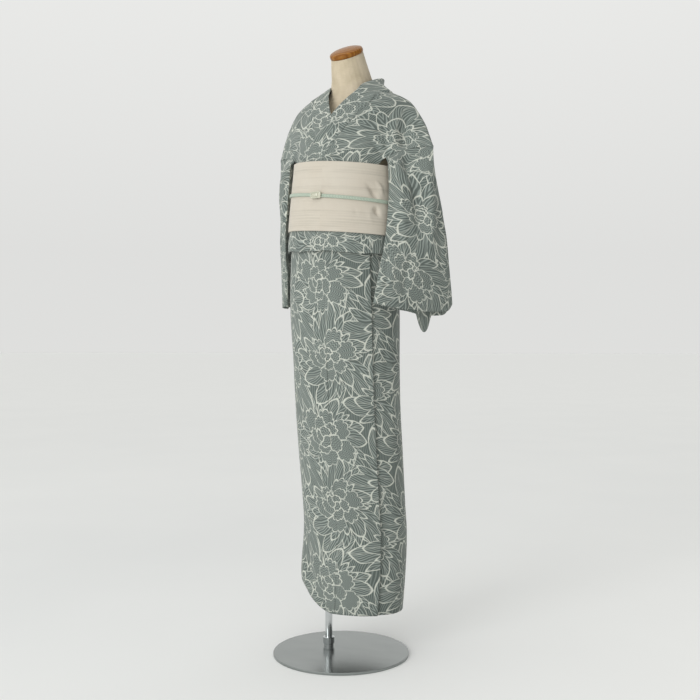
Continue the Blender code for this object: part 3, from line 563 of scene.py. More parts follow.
def cord_out(degrees):
    """The cord lies on the obi, and at the back on its outer end."""
    first, last = OBI_END
    up = ramp(degrees, first - CORD_CLIMB, first - 1) * (1 - ramp(degrees, last + 1, last + CORD_CLIMB))
    return CORD_THICK + LAYER + (OBI_CLOTH + LAYER) * up


# ---- shells of cloth
def evenly(count, start=0.0, end=1.0):
    return list(np.linspace(start, end, count + 1))


def grid_normals(points, closed):
    """Outward normals of a grid of points, rows up and columns across."""
    if closed:
        across = np.roll(points, -1, axis=1) - np.roll(points, 1, axis=1)
    else:
        across = np.gradient(points, axis=1)
    normals = np.cross(across, np.gradient(points, axis=0))
    return normals / np.maximum(np.linalg.norm(normals, axis=2, keepdims=True), 1e-9)


def cut_place(points, closed):
    """Where each point of the grid lies on the flat cut: across and along, in metres."""
    wide = np.concatenate([points, points[:, :1]], axis=1) if closed else points
    across = np.zeros(wide.shape[:2])
    across[:, 1:] = np.cumsum(np.linalg.norm(np.diff(wide, axis=1), axis=2), axis=1)
    across -= across[:, -1:] / 2
    along = np.zeros(wide.shape[:2])
    along[1:] = np.cumsum(np.linalg.norm(np.diff(wide, axis=0), axis=2), axis=0)
    return across, along


def fold_depth(folds, points):
    """How far soft folds lift or sink the cloth: along each line, deepest where its share says."""
    depth = np.zeros(points.shape[:2])
    for lift, width, peak, line in folds:
        line = np.array(line)
        runs = np.linalg.norm(np.diff(line, axis=0), axis=1)
        starts = np.concatenate([[0.0], np.cumsum(runs)])
        nearest = np.full(points.shape[:2], np.inf)
        share = np.zeros(points.shape[:2])
        for first, last, run, start in zip(line, line[1:], runs, starts):
            t = np.clip((points - first) @ (last - first) / run**2, 0, 1)
            gap = np.linalg.norm(points - first - t[..., None] * (last - first), axis=2)
            closer = gap < nearest
            nearest[closer] = gap[closer]
            share[closer] = ((start + t * run) / starts[-1])[closer]
        ends = np.where(share < peak, share / max(peak, 1e-6), (1 - share) / max(1 - peak, 1e-6))
        ends = np.clip(ends, 0, 1) if 0 < peak < 1 else np.clip(1 - abs(share - peak), 0, 1)
        depth += lift * np.exp(-((nearest / (width * (0.55 + 0.45 * ends))) ** 2)) * (3 - 2 * ends) * ends**2
    return depth


def unevenness(across, along):
    """Slow uneven swells, from -1 to 1, the same on every run."""
    swell = np.sin(along * 9.1 + across * 3.0) * np.sin(across * 21.0 + along * 2.2 + 0.7)
    swell += 0.6 * np.sin(along * 17.3 - across * 8.0 + 1.9) * np.sin(across * 11.7 - along * 4.1)
    return swell / 1.6


def laid(surface, across, along):
    """The points of surface(s, t), row by row, and the columns and rows that they stand on."""
    return np.array([[surface(s, t) for s in across] for t in along]), across, along


def shell(name, grid, folds=(), thickness=CLOTH, closed=False, lay=(0.0, 0.0, 0.0), loose=0.0,
          seams=(), hems=(), dips=()):
    """A thin shell of cloth on a laid grid, with its folds; lay shifts and turns the print on it.

    seams names the sewn sides, of "first" and "last"; hems the ends that are hemmed, of "low" and "high".
    dips sink the cloth beside an edge: which edge, how wide, how deep, and from where to where along it.
    """
    points, across, along = grid
    place_across, place_along = cut_place(points, closed)
    rows, wide = points.shape[:2]
    depth = fold_depth(folds, points)
    if loose:
        swell = loose * unevenness(place_across[:, :wide], place_along[:, :wide])
        if closed:
            swell *= np.clip(np.minimum(np.arange(wide), wide - np.arange(wide)) / 8, 0, 1)
        depth += swell
    far = np.ones(place_across.shape)
    sides = {"first": place_across - place_across[:, :1], "last": place_across[:, -1:] - place_across}
    ends = {"low": place_along - place_along[:1], "high": place_along[-1:] - place_along}
    for edge, reach, drop, begin, end in dips:
        share = np.clip(1 - {**sides, **ends}[edge][:, :wide] / reach, 0, 1)
        if edge in sides:
            there = np.array([begin <= t <= end for t in along])[:, None]
        else:
            there = np.array([begin <= s <= end for s in across])[None, :]
        depth -= drop * (share * share * (3 - 2 * share)) * there
    points = points + grid_normals(points, closed) * depth[..., None]
    faces, corners = [], []
    for j in range(rows - 1):
        for i in range(wide if closed else wide - 1):
            k = (i + 1) % wide
            faces.append((j * wide + i, j * wide + k, (j + 1) * wide + k, (j + 1) * wide + i))
            corners.extend(((j, i), (j, i + 1), (j + 1, i + 1), (j + 1, i)))
    mesh = bpy.data.meshes.new(name)
    mesh.from_pydata(points.reshape(-1, 3).tolist(), [], faces)
    rows_of, columns_of = np.array(corners).T
    u, v = place_across[rows_of, columns_of], place_along[rows_of, columns_of]
    c, s = math.cos(lay[2]), math.sin(lay[2])
    cut = mesh.uv_layers.new(name="cut")
    cut.data.foreach_set("uv", np.stack([u * c - v * s + lay[0], u * s + v * c + lay[1]], axis=1).ravel())
    to_seam = np.minimum.reduce([far] + [sides[key] for key in seams])
    to_hem = np.minimum.reduce([far] + [ends[key] for key in hems])
    edges = mesh.uv_layers.new(name="edges")
    to_edges = np.stack([to_seam[rows_of, columns_of], to_hem[rows_of, columns_of]], axis=1)
    edges.data.foreach_set("uv", to_edges.ravel())
    mesh.uv_layers.active = cut
    mesh.shade_smooth()
    made = bpy.data.objects.new(name, mesh)
    bpy.context.scene.collection.objects.link(made)
    thick = made.modifiers.new("thickness", "SOLIDIFY")
    thick.thickness, thick.offset = thickness, -1
    return made


# ---- folds: where each is seen from, how far out, half width, where along it is deepest, and where it shows.
# Places are pixels across and down in the photo's view; seen straight from a side, metres across and up.
PHOTO, FRONT, LEFT, BEHIND, RIGHT = "photo", 0, 90, 180, 270    # the sides are degrees round the wearer
PIXEL_MIDDLE = 0.5
NEAR_PIXELS, NEAR_METRES = 2.0, 0.008   # cloth this close to a place may be the cloth that is meant
NEAR_DEPTH = 0.010      # and of that only the cloth in front, this deep
SKIRT_FOLDS = (
    (PHOTO, -0.0016, 0.010, 0.3, ((320, 262), (323, 300), (326, 345))),
    (PHOTO, -0.0014, 0.009, 0.4, ((352, 258), (350, 300), (347, 352))),
    (PHOTO, 0.0012, 0.012, 0.5, ((336, 262), (338, 330), (340, 390))),
    (PHOTO, -0.0012, 0.014, 0.5, ((318, 380), (322, 450), (328, 530))),
    (PHOTO, -0.0010, 0.012, 0.5, ((360, 400), (358, 470), (361, 560))),
    (PHOTO, -0.0022, 0.009, 0.6, ((305, 520), (309, 560), (318, 600))),
    (PHOTO, 0.0020, 0.010, 0.6, ((302, 548), (303, 572), (309, 592))),
    (PHOTO, -0.0020, 0.008, 0.4, ((384, 315), (387, 370), (386, 430))),
    (PHOTO, 0.0016, 0.008, 0.5, ((392, 330), (393, 400), (392, 460))),
    (PHOTO, -0.0016, 0.009, 0.5, ((391, 470), (388, 530), (389, 600))),
    (BEHIND, -0.0024, 0.014, 0.4, ((-0.060, 0.960), (-0.050, 0.720), (-0.056, 0.450))),
    (BEHIND, -0.0020, 0.012, 0.5, ((0.050, 0.970), (0.066, 0.760), (0.060, 0.520))),
    (BEHIND, 0.0016, 0.014, 0.5, ((-0.004, 0.920), (0.004, 0.750), (0.002, 0.550))),
    (BEHIND, -0.0018, 0.011, 0.6, ((0.020, 0.600), (0.012, 0.360), (0.020, 0.160))),
    (BEHIND, -0.0016, 0.010, 0.5, ((-0.098, 0.860), (-0.090, 0.660), (-0.094, 0.500))),
    (RIGHT, -0.0024, 0.011, 0.4, ((-0.062, 0.740), (-0.068, 0.500))),
    (RIGHT, -0.0018, 0.012, 0.5, ((-0.018, 0.877), (-0.028, 0.600), (-0.032, 0.360))),
    (RIGHT, 0.0014, 0.010, 0.5, ((-0.044, 0.800), (-0.050, 0.660))),
    (RIGHT, -0.0018, 0.009, 0.5, ((-0.090, 0.500), (-0.088, 0.340), (-0.094, 0.180))),
    (LEFT, -0.0020, 0.012, 0.5, ((0.088, 0.800), (0.086, 0.600), (0.096, 0.360))),
    (LEFT, -0.0014, 0.010, 0.5, ((0.120, 0.720), (0.122, 0.520), (0.130, 0.300))),
)
TUCK_FOLDS = (
    (PHOTO, -0.0024, 0.005, 0.6, ((289, 238), (293, 246), (299, 250))),
    (PHOTO, 0.0018, 0.006, 0.6, ((296, 238), (302, 247), (306, 250))),
    (PHOTO, -0.0012, 0.006, 0.7, ((316, 238), (320, 252))),
    (PHOTO, -0.0014, 0.0055, 0.7, ((341, 237), (347, 251))),
    (PHOTO, 0.0012, 0.007, 0.6, ((352, 238), (358, 254))),
    (PHOTO, -0.0022, 0.005, 0.6, ((366, 238), (370, 246), (375, 255))),
    (LEFT, -0.0020, 0.006, 0.5, ((0.095, 1.040), (0.101, 1.010))),
    (BEHIND, -0.0020, 0.0065, 0.6, ((-0.085, 1.045), (-0.078, 1.008))),
    (BEHIND, -0.0014, 0.0055, 0.5, ((-0.030, 1.045), (-0.034, 1.008))),
    (BEHIND, 0.0012, 0.0075, 0.5, ((0.010, 1.045), (0.014, 1.008))),
    (BEHIND, -0.0022, 0.0055, 0.6, ((0.052, 1.045), (0.060, 1.008))),
    (BEHIND, -0.0016, 0.006, 0.6, ((0.104, 1.045), (0.098, 1.008))),
    (RIGHT, -0.0014, 0.0055, 0.6, ((0.012, 1.045), (0.012, 1.013))),
)
BODICE_FOLDS = (
    (PHOTO, -0.0150, 0.015, 0.9, ((409, 104), (405, 118), (403, 132), (405, 148))),
    (PHOTO, 0.0045, 0.012, 0.7, ((398, 110), (394, 128), (394, 148))),
    (PHOTO, -0.0045, 0.007, 0.9, ((363, 128), (374, 144), (386, 159))),
    (PHOTO, -0.0036, 0.007, 0.8, ((380, 118), (385, 138), (389, 157))),
    (PHOTO, 0.0016, 0.006, 0.7, ((372, 126), (380, 142), (388, 155))),
    (PHOTO, -0.0018, 0.008, 0.6, ((347, 128), (343, 142), (340, 158))),
    (PHOTO, -0.0016, 0.007, 0.6, ((310, 120), (314, 137), (324, 158))),
    (PHOTO, -0.0024, 0.007, 0.7, ((300, 112), (298, 132), (299, 152))),
    (PHOTO, 0.0016, 0.007, 0.6, ((308, 116), (309, 136), (306, 154))),
    (PHOTO, 0.0020, 0.009, 0.5, ((419, 114), (423, 128), (424, 143))),
    (BEHIND, -0.0030, 0.010, 0.5, ((-0.105, 1.245), (-0.130, 1.315), (-0.150, 1.375))),
    (BEHIND, -0.0028, 0.009, 0.3, ((0.120, 1.295), (0.132, 1.320), (0.152, 1.365))),
    (BEHIND, -0.0020, 0.008, 0.3, ((-0.048, 1.235), (-0.066, 1.310))),
    (BEHIND, -0.0018, 0.0085, 0.3, ((0.040, 1.235), (0.060, 1.315))),
    (BEHIND, 0.0018, 0.010, 0.4, ((-0.080, 1.240), (-0.100, 1.330))),
    (BEHIND, -0.0034, 0.008, 0.5, ((-0.175, 1.240), (-0.196, 1.300))),
    (RIGHT, -0.0030, 0.008, 0.6, ((-0.030, 1.330), (-0.034, 1.290), (-0.031, 1.269))),
    (LEFT, -0.0034, 0.009, 0.6, ((0.080, 1.330), (0.074, 1.290), (0.068, 1.250))),
)
SLEEVE_FOLDS = (
    (PHOTO, -0.0180, 0.017, 0.16, ((405, 150), (409, 171), (415, 190), (418, 213), (418, 236), (416, 264))),
    (PHOTO, 0.0075, 0.012, 0.4, ((396, 156), (400, 190), (404, 225), (404, 262))),
    (PHOTO, 0.0095, 0.014, 0.4, ((426, 152), (430, 190), (431, 228), (427, 275))),
    (PHOTO, -0.0040, 0.009, 0.5, ((437, 190), (440, 235), (441, 285))),
    (PHOTO, -0.0050, 0.010, 0.6, ((413, 244), (407, 272), (402, 303))),
    (PHOTO, -0.0080, 0.0055, 0.4, ((388, 165), (394, 162), (401, 160))),
    (PHOTO, -0.0034, 0.008, 0.6, ((391, 205), (388, 240), (384, 290))),
    (PHOTO, 0.0018, 0.008, 0.6, ((395, 250), (393, 275), (391, 303))),
    (PHOTO, -0.0016, 0.0075, 0.7, ((428, 262), (430, 284), (434, 303))),
    (PHOTO, -0.0030, 0.0055, 0.5, ((286, 165), (285, 200), (286, 240))),
    (LEFT, -0.0045, 0.010, 0.4, ((0.060, 1.240), (0.075, 1.100), (0.086, 0.940))),
    (LEFT, 0.0028, 0.011, 0.5, ((0.035, 1.200), (0.042, 1.060), (0.040, 0.940))),
    (LEFT, -0.0030, 0.0085, 0.6, ((0.079, 1.126), (0.098, 1.018), (0.124, 0.900))),
    (BEHIND, -0.0050, 0.011, 0.4, ((-0.235, 1.220), (-0.245, 1.100), (-0.250, 0.970))),
    (BEHIND, 0.0030, 0.012, 0.5, ((-0.205, 1.210), (-0.208, 1.060), (-0.215, 0.930))),
    (BEHIND, -0.0030, 0.0085, 0.6, ((-0.180, 1.180), (-0.176, 1.050), (-0.184, 0.920))),
    (BEHIND, -0.0045, 0.009, 0.4, ((0.185, 1.220), (0.185, 1.080), (0.187, 0.950))),
    (RIGHT, -0.0045, 0.010, 0.4, ((-0.055, 1.240), (-0.062, 1.100), (-0.068, 0.960))),
    (RIGHT, 0.0026, 0.0095, 0.5, ((-0.024, 1.210), (-0.030, 1.070), (-0.034, 0.940))),
    (RIGHT, -0.0030, 0.008, 0.6, ((-0.084, 1.160), (-0.092, 1.030), (-0.098, 0.910))),
    (FRONT, -0.0034, 0.008, 0.5, ((-0.152, 1.200), (-0.158, 1.060), (-0.158, 0.940))),
)
OBI_FOLDS = (
    (PHOTO, -0.0100, 0.0075, 0.6, ((364, 181), (371, 190), (379, 201))),
    (PHOTO, 0.0045, 0.006, 0.5, ((374, 178), (380, 188), (383, 198))),
    (PHOTO, -0.0098, 0.0068, 0.4, ((374, 204), (376, 210), (379, 218))),
    (PHOTO, 0.0014, 0.005, 0.5, ((367, 205), (369, 216), (373, 228))),
    (PHOTO, -0.0012, 0.005, 0.5, ((352, 203), (355, 210), (357, 218))),
    (PHOTO, -0.0010, 0.008, 0.5, ((330, 168), (331, 180), (330, 192))),
    (PHOTO, -0.0012, 0.006, 0.5, ((300, 203), (303, 215), (302, 228))),
    (BEHIND, -0.0020, 0.006, 0.5, ((-0.060, 1.180), (-0.066, 1.150))),
    (BEHIND, -0.0020, 0.005, 0.5, ((0.080, 1.120), (0.076, 1.085))),
    (LEFT, -0.0026, 0.005, 0.5, ((0.068, 1.175), (0.074, 1.150))),
)


def seen_from(view, points):
    """Where points show from a view, across it and up or down it, and how far off they are."""
    turn = CAMERA_AZIMUTH if view == PHOTO else math.radians(view)
    x, y, z = points.T
    across = x * math.cos(turn) + y * math.sin(turn)
    off = y * math.cos(turn) - x * math.sin(turn)
    if view != PHOTO:
        return across, z, off
    off = off + CAMERA_BACK
    pixels = PICTURE * LENS / SENSOR / off
    middle = PICTURE / 2 - PIXEL_MIDDLE
    return middle + pixels * (across - CAMERA_SIDE), middle - pixels * (z - CAMERA_HEIGHT), off


def carried(folds, grids):
    """The folds with their places carried onto the cloth of some grids, the nearest that shows there."""
    cloth = np.concatenate([points.reshape(-1, 3) for points, _, _ in grids])
    made = []
    for view, lift, width, peak, places in folds:
        across, up, off = seen_from(view, cloth)
        reach = NEAR_PIXELS if view == PHOTO else NEAR_METRES
        line = []
        for place_across, place_up in places:
            gap = np.hypot(across - place_across, up - place_up)
            near = gap <= max(reach, gap.min())
            front = near & (off < off[near].min() + NEAR_DEPTH)
            line.append(cloth[np.where(front, gap, np.inf).argmin()])
        made.append((lift, width, peak, line))
    return made


# ---- numbers worked out at each point of a surface
class Number:
    """A value in the node tree that is being made. Arithmetic on it adds math nodes."""
    tree = None

    def __init__(self, socket):
        self.socket = socket

    def __add__(self, other):
        return math_node("ADD", self, other)

    def __radd__(self, other):
        return math_node("ADD", other, self)

    def __sub__(self, other):
        return math_node("SUBTRACT", self, other)

    def __rsub__(self, other):
        return math_node("SUBTRACT", other, self)

    def __mul__(self, other):
        return math_node("MULTIPLY", self, other)

    def __rmul__(self, other):
        return math_node("MULTIPLY", other, self)

    def __truediv__(self, other):
        return math_node("DIVIDE", self, other)

    def __rtruediv__(self, other):
        return math_node("DIVIDE", other, self)

    def __pow__(self, other):
        return math_node("POWER", self, other)


def plug(value, socket):
    """Gives an input its value, or links the number or output that it takes."""
    if isinstance(value, Number):
        Number.tree.links.new(value.socket, socket)
    elif isinstance(value, bpy.types.NodeSocket):
        Number.tree.links.new(value, socket)
    else:
        socket.default_value = value


def math_node(operation, *values, clamp=False):
    node = Number.tree.nodes.new("ShaderNodeMath")
    node.operation, node.use_clamp = operation, clamp
    for value, socket in zip(values, node.inputs):
        plug(value, socket)
    return Number(node.outputs[0])


def sine(x):
    return math_node("SINE", x)


def size(x):
    return math_node("ABSOLUTE", x)


def part_of(x):
    return math_node("FRACT", x)


def least(a, b):
    return math_node("MINIMUM", a, b)


def most(a, b):
    return math_node("MAXIMUM", a, b)


def wrapped(x, span):
    """x brought between -span/2 and span/2 by whole spans."""
    return math_node("WRAP", x, span / 2, -span / 2)


def rise(x, start, end):
    """0 where x is at start and 1 where it is at end, straight between them."""
    node = Number.tree.nodes.new("ShaderNodeMapRange")
    for value, socket in zip((x, start, end, 0.0, 1.0), node.inputs):
        plug(value, socket)
    return Number(node.outputs[0])


def blend(a, b, share):
    return a + (b - a) * share


def distance(x, y):
    return math_node("SQRT", x * x + y * y)


def bearing(x, y):
    return math_node("ARCTAN2", y, x)


def noise(vector, scale, detail=2.0, roughness=0.5):
    """Smooth noise from 0 to 1: the number, and a colour of three more."""
    node = Number.tree.nodes.new("ShaderNodeTexNoise")
    node.noise_dimensions = "3D"
    for value, key in ((vector, "Vector"), (scale, "Scale"), (detail, "Detail"), (roughness, "Roughness")):
        plug(value, node.inputs[key])
    return Number(node.outputs["Fac"]), node.outputs["Color"]


def parts(vector):
    node = Number.tree.nodes.new("ShaderNodeSeparateXYZ")
    plug(vector, node.inputs[0])
    return [Number(out) for out in node.outputs]


def joined(x, y, z=0.0):
    node = Number.tree.nodes.new("ShaderNodeCombineXYZ")
    for value, socket in zip((x, y, z), node.inputs):
        plug(value, socket)
    return node.outputs[0]


def mixed(share, a, b, way="MIX"):
    node = Number.tree.nodes.new("ShaderNodeMix")
    node.data_type, node.blend_type = "RGBA", way
    plug(share, node.inputs["Factor"])
    colours = [socket for socket in node.inputs if socket.type == "RGBA"]
    for value, socket in zip((a, b), colours):
        plug((*value, 1) if isinstance(value, tuple) else value, socket)
    return [socket for socket in node.outputs if socket.type == "RGBA"][0]


# ---- the print: peonies with leaves behind them, drawn in lines
TILE_WIDTH, TILE_HEIGHT = 0.37, 0.44
FLOWERS = (
    # across, along, radius, petals, turn
    (0.085, 0.075, 0.076, 6, 0.3),
    (0.290, 0.205, 0.064, 5, 1.4),
    (0.105, 0.320, 0.070, 6, 2.6),
    (0.300, 0.410, 0.044, 5, 0.9),
)
FLOWER_RINGS = (
    # share of the radius, petals fewer, twist, slip of the centre
    (1.00, 0, 0.20, 0.00),
    (0.60, 1, 0.50, 0.10),
    (0.32, 3, 1.10, 0.17),
)
LEAF_RINGS = (
    # across, along, reach, leaves, turn
    (0.085, 0.075, 0.184, 6, 0.4),
    (0.290, 0.205, 0.184, 5, 1.3),
    (0.105, 0.320, 0.184, 6, 2.5),
    (0.300, 0.410, 0.182, 5, 0.1),
    (0.085, 0.075, 0.148, 5, 0.9),
    (0.290, 0.205, 0.138, 5, 0.2),
    (0.105, 0.320, 0.142, 5, 1.9),
    (0.300, 0.410, 0.118, 4, 2.2),
)
LEAF_BEND = 2.6
PRINT_SCALE = 0.85                # the cloth is printed at this share of the drawing
LINE, HATCH = 0.0030, 0.0058      # width of the drawn lines, and spacing of the fine ones
EDGE = 0.0006                     # softness of a drawn edge


def motif(place, across, along):
    """Place measured from a motif's centre, whichever repeat of it is nearest."""
    return wrapped(place[0] - across, TILE_WIDTH), wrapped(place[1] - along, TILE_HEIGHT)


def stroke(gap, half_width):
    """A line where gap is 0, soft at its edges; half_width is where it ends and where it is full."""
    return rise(size(gap), *half_width)


def ripple(depth, spacing):
    """Fine lines at every spacing of depth."""
    return rise(sine(depth * (2 * math.pi / spacing)), -0.10, 0.80)


def petals(x, y, radius, count, turn, twist, half_width):
    """A ring of scalloped petals: where it is, its outline and its fine lines."""
    far = distance(x, y)
    sector = (bearing(x, y) + far * (twist / radius) + turn) * (count / (2 * math.pi))
    across = wrapped(sector, 1.0)
    middle = (sector - across) * (2 * math.pi / count)
    reach = sine(middle * 2 + turn * 5) * (radius * 0.15) + sine(middle * 3) * (radius * 0.07) + radius
    scallop = size(sine(across * (4 * math.pi) + 0.5 * math.pi)) ** 0.7
    side = size(across)
    depth = reach * (0.97 - side ** 2.6 * 2.3) + scallop * (radius * 0.13) - far
    between = (0.5 - side) * far * (2 * math.pi / count)
    inside = rise(depth, -EDGE, EDGE)
    outline = stroke(least(size(depth), most(between, depth * -9.0)), half_width)
    veins = ripple(depth + side * far * 0.2, HATCH)
    return inside, outline, veins


def leaves(x, y, reach, count, turn, half_width):
    """A ring of leaves, each with one long pointed lobe and two short ones: as for the petals."""
    far = distance(x, y)
    sector = (bearing(x, y) + far * LEAF_BEND + turn) * (count / (2 * math.pi))
    across = wrapped(sector, 1.0)
    middle = (sector - across) * (2 * math.pi / count)
    length = sine(middle * 2 + turn * 7) * (reach * 0.14) + sine(middle * 3 + turn) * (reach * 0.08)
    length = length + reach * 0.86
    side = size(across)
    aside = size(side - 0.34)
    long_lobe = 1 - side * 0.80 - side ** 2.4 * 6.5
    short_lobe = 0.78 - aside * 1.00 - aside ** 2.2 * 9.0
    depth = (length * most(long_lobe, short_lobe) - far) * 0.55
    inside = rise(depth, -EDGE, EDGE)
    between = (0.5 - side) * far * (2 * math.pi / count)
    outline = stroke(least(size(depth), most(between, depth * -9.0)), half_width)
    rib = stroke(side * far, half_width) * 0.25
    veins = ripple(least(side, aside) * far * (2 * math.pi / count) + depth * 0.30, HATCH * 0.8)
    return inside, most(outline, rib * inside), veins


# ---- materials
def start_material(name, roughness, metallic=0.0, sheen=0.0, coat=0.0):
    """A new material, whose tree the numbers go into, and its shader."""
    made = bpy.data.materials.new(name)
    made.use_nodes = True
    Number.tree = made.node_tree
    shader = made.node_tree.nodes["Principled BSDF"]
    for key, value in (("Roughness", roughness), ("Metallic", metallic), ("Sheen Weight", sheen),
                       ("Sheen Roughness", 0.5), ("Coat Weight", coat), ("Coat Roughness", 0.12)):
        shader.inputs[key].default_value = value
    return made, shader


def bump(height, shader, strength=1.0):
    """Height in metres, as a bump of the surface."""
    node = Number.tree.nodes.new("ShaderNodeBump")
    for value, key in ((height, "Height"), (strength, "Strength"), (1.0, "Distance")):
        plug(value, node.inputs[key])
    plug(node.outputs[0], shader.inputs["Normal"])


def map_coordinates(name):
    node = Number.tree.nodes.new("ShaderNodeUVMap")
    node.uv_map = name
    return node.outputs[0]


def solid_coordinates():
    return Number.tree.nodes.new("ShaderNodeTexCoord").outputs["Object"]


def scaled(vector, factors):
    x, y, z = parts(vector)
    return joined(x * factors[0], y * factors[1], z * factors[2])


def toned(colour, level):
    """The colour times a level."""
    return mixed(1.0, colour, joined(level, level, level), "MULTIPLY")


def threads(vector, fine, long):
    """Uneven yarns both ways: from 0 to 1."""
    across, _ = noise(scaled(vector, (long, fine, 1)), 1.0, 1.0)
    along, _ = noise(scaled(vector, (fine, long, 1)), 1.0, 1.0)
    return across, along


def plain_weave(u, v, pitch):
    """Height of a plain weave, from -1 to 1."""
    return sine(u * (2 * math.pi / pitch)) * sine(v * (2 * math.pi / pitch))


def near(x, place, half, soft):
    """1 within half of the place, and 0 outside it."""
    return rise(size(x - place), half + soft, half)


HEM_WIDTH, STITCH = 0.014, 0.0075


def seam_and_hem():
    """How deep the cloth sinks at its sewn sides, from 0 to 1, and at the stitches of its hem."""
    seam, hem, _ = parts(map_coordinates("edges"))
    u, v, _ = parts(map_coordinates("cut"))
    groove = rise(seam, 0.0012, 0.0)
    stitched = near(hem, HEM_WIDTH, 0.0005, 0.0006) * near(part_of((u + v) / STITCH), 0.5, 0.10, 0.06)
    fold = near(hem, HEM_WIDTH, 0.0003, 0.0009)
    return groove, stitched, fold


GROUND, LIGHT_GROUND = (0.093, 0.116, 0.105), (0.116, 0.138, 0.125)
FINE_LINES, OUTLINES = (0.330, 0.375, 0.345), (0.600, 0.620, 0.550)


def yukata_cotton():
    made, shader = start_material("yukata cotton", 0.85, sheen=0.12)
    cut = map_coordinates("cut")
    u, v, _ = parts(cut)
    _, sway = noise(cut, 7.0, 1.0)
    sx, sy, thick = parts(sway)
    _, shake = noise(cut, 38.0, 1.0)
    hx, hy, _ = parts(shake)
    place = ((u + (sx - 0.5) * 0.045 + (hx - 0.5) * 0.006) / PRINT_SCALE,
             (v + (sy - 0.5) * 0.045 + (hy - 0.5) * 0.006) / PRINT_SCALE)
    width = (hx * 1.40 + 0.28) * (LINE / 2)
    half_width = (width + EDGE, width - EDGE)
    layers = []
    for across, along, reach, count, turn in LEAF_RINGS:
        x, y = motif(place, across, along)
        layers.append((0.55, *leaves(x, y, reach, count, turn, half_width)))
    for across, along, radius, count, turn in FLOWERS:
        x, y = motif(place, across, along)
        for ring, (share, fewer, twist, slip) in enumerate(FLOWER_RINGS):
            drawn = petals(x + radius * slip, y - radius * slip * 0.6, radius * share, count - fewer,
                           turn + ring * 0.9, twist, half_width)
            layers.append((0.75 + 0.12 * ring, *drawn))
    shade, inside, line, veins = layers[0]
    bare = ripple(u + (sx + sy) * 0.05, HATCH * 0.9) * 0.55
    tint, veins = inside * shade, blend(bare, veins, inside)
    for shade, inside, outline, fine in layers[1:]:
        line = most(line * (1 - inside), outline)
        veins = blend(veins, fine, inside)
        tint = blend(tint, shade, inside)
    across, along = threads(cut, 1500.0, 45.0)
    groove, stitched, fold = seam_and_hem()
    yarn = across + along - 1.0
    ground = mixed(tint, GROUND, LIGHT_GROUND)
    drawn = mixed(veins * (0.60 + thick * 0.40), ground, FINE_LINES)
    colour = mixed(line * (0.80 + across * 0.3), drawn, OUTLINES)
    # The seam's groove, the hem's stitches and the hem's fold darken the colour as well as sinking the bump:
    # painted shade in these sunk places.
    level = (1.0 + yarn * 0.22) * (0.94 + thick * 0.12) * (1.0 - groove * 0.12)
    level = level * (1.0 - stitched * 0.20 - fold * 0.05)
    plug(toned(colour, level), shader.inputs["Base Color"])
    plug(0.80 + across * 0.10 - line * 0.04, shader.inputs["Roughness"])
    height = plain_weave(u, v, 0.0011) * 0.00003 + yarn * 0.00010 - groove * 0.0003 - stitched * 0.0003
    bump(height - fold * 0.00012, shader, 0.6)
    return made


OBI_PALE, OBI_WARM, OBI_STRIPE = (0.625, 0.585, 0.505), (0.570, 0.510, 0.420), (0.395, 0.362, 0.298)
OBI_STRIPES = (
    # height over the band's lower edge, half width, depth of tone
    (0.1605, 0.0010, 0.50), (0.1535, 0.0012, 0.80), (0.1480, 0.0010, 0.80), (0.1330, 0.0008, 0.35),
    (0.1115, 0.0016, 0.80), (0.1070, 0.0008, 0.50), (0.0750, 0.0008, 0.25), (0.0505, 0.0014, 0.80),
    (0.0450, 0.0008, 0.55), (0.0390, 0.0010, 0.75), (0.0310, 0.0014, 0.90), (0.0240, 0.0012, 0.80),
    (0.0185, 0.0010, 0.70), (0.0130, 0.0012, 0.80), (0.0075, 0.0007, 0.50),
)


def obi_weave():
    """A stiff band with ribs across it and faint woven stripes along it."""
    made, shader = start_material("obi weave", 0.72, sheen=0.20)
    cut = map_coordinates("cut")
    u, v, _ = parts(cut)
    across, along = threads(cut, 1100.0, 22.0)
    fade, _ = noise(scaled(cut, (9.0, 60.0, 1)), 1.0, 1.0)
    patches, _ = noise(cut, 11.0, 2.0)
    stripes = None
    for height, half, tone in OBI_STRIPES:
        line = near(v, height, half, 0.0016) * tone
        stripes = line if stripes is None else most(stripes, line)
    stripes = stripes * rise(fade, 0.30, 0.62)
    colour = mixed(patches, OBI_PALE, OBI_WARM)
    colour = mixed(stripes * 0.42, colour, OBI_STRIPE)
    ribs = sine(u * (2 * math.pi / 0.0016))
    plug(toned(colour, 0.90 + across * 0.13 + along * 0.07 + ribs * 0.015), shader.inputs["Base Color"])
    plug(0.66 + along * 0.14, shader.inputs["Roughness"])
    bump(ribs * 0.00006 + across * 0.00012 - stripes * 0.00020, shader, 0.8)
    return made


def mint_braid():
    """A flat braid: strands run to the middle from both edges."""
    made, shader = start_material("mint braid", 0.6, sheen=0.25)
    u, v, _ = parts(map_coordinates("cut"))
    slant = sine((v + size(wrapped(u, CORD_WIDTH * 2)) * 0.9) * (2 * math.pi / 0.0036))
    silk, _ = noise(joined(u * 900, v * 60), 1.0, 1.0)
    # The colour follows the strands' height, as the bump does: painted highlight on their crowns and painted
    # shade between them.
    colour = mixed(rise(slant, -0.9, 0.6), (0.290, 0.365, 0.290), (0.500, 0.580, 0.475))
    plug(toned(colour, 0.88 + silk * 0.24), shader.inputs["Base Color"])
    bump(slant * 0.00022 + silk * 0.00008, shader)
    return made


def clasp_shell():
    """Pale polished shell in a thin frame."""
    made, shader = start_material("clasp shell", 0.22, coat=0.5)
    place = solid_coordinates()
    cloud, _ = noise(place, 130.0, 3.0)
    layers, _ = noise(scaled(place, (60, 60, 600)), 1.0, 2.0)
    colour = mixed(cloud, (0.480, 0.500, 0.395), (0.640, 0.620, 0.500))
    plug(toned(colour, 0.92 + layers * 0.16), shader.inputs["Base Color"])
    bump(cloud * 0.00010, shader)
    return made


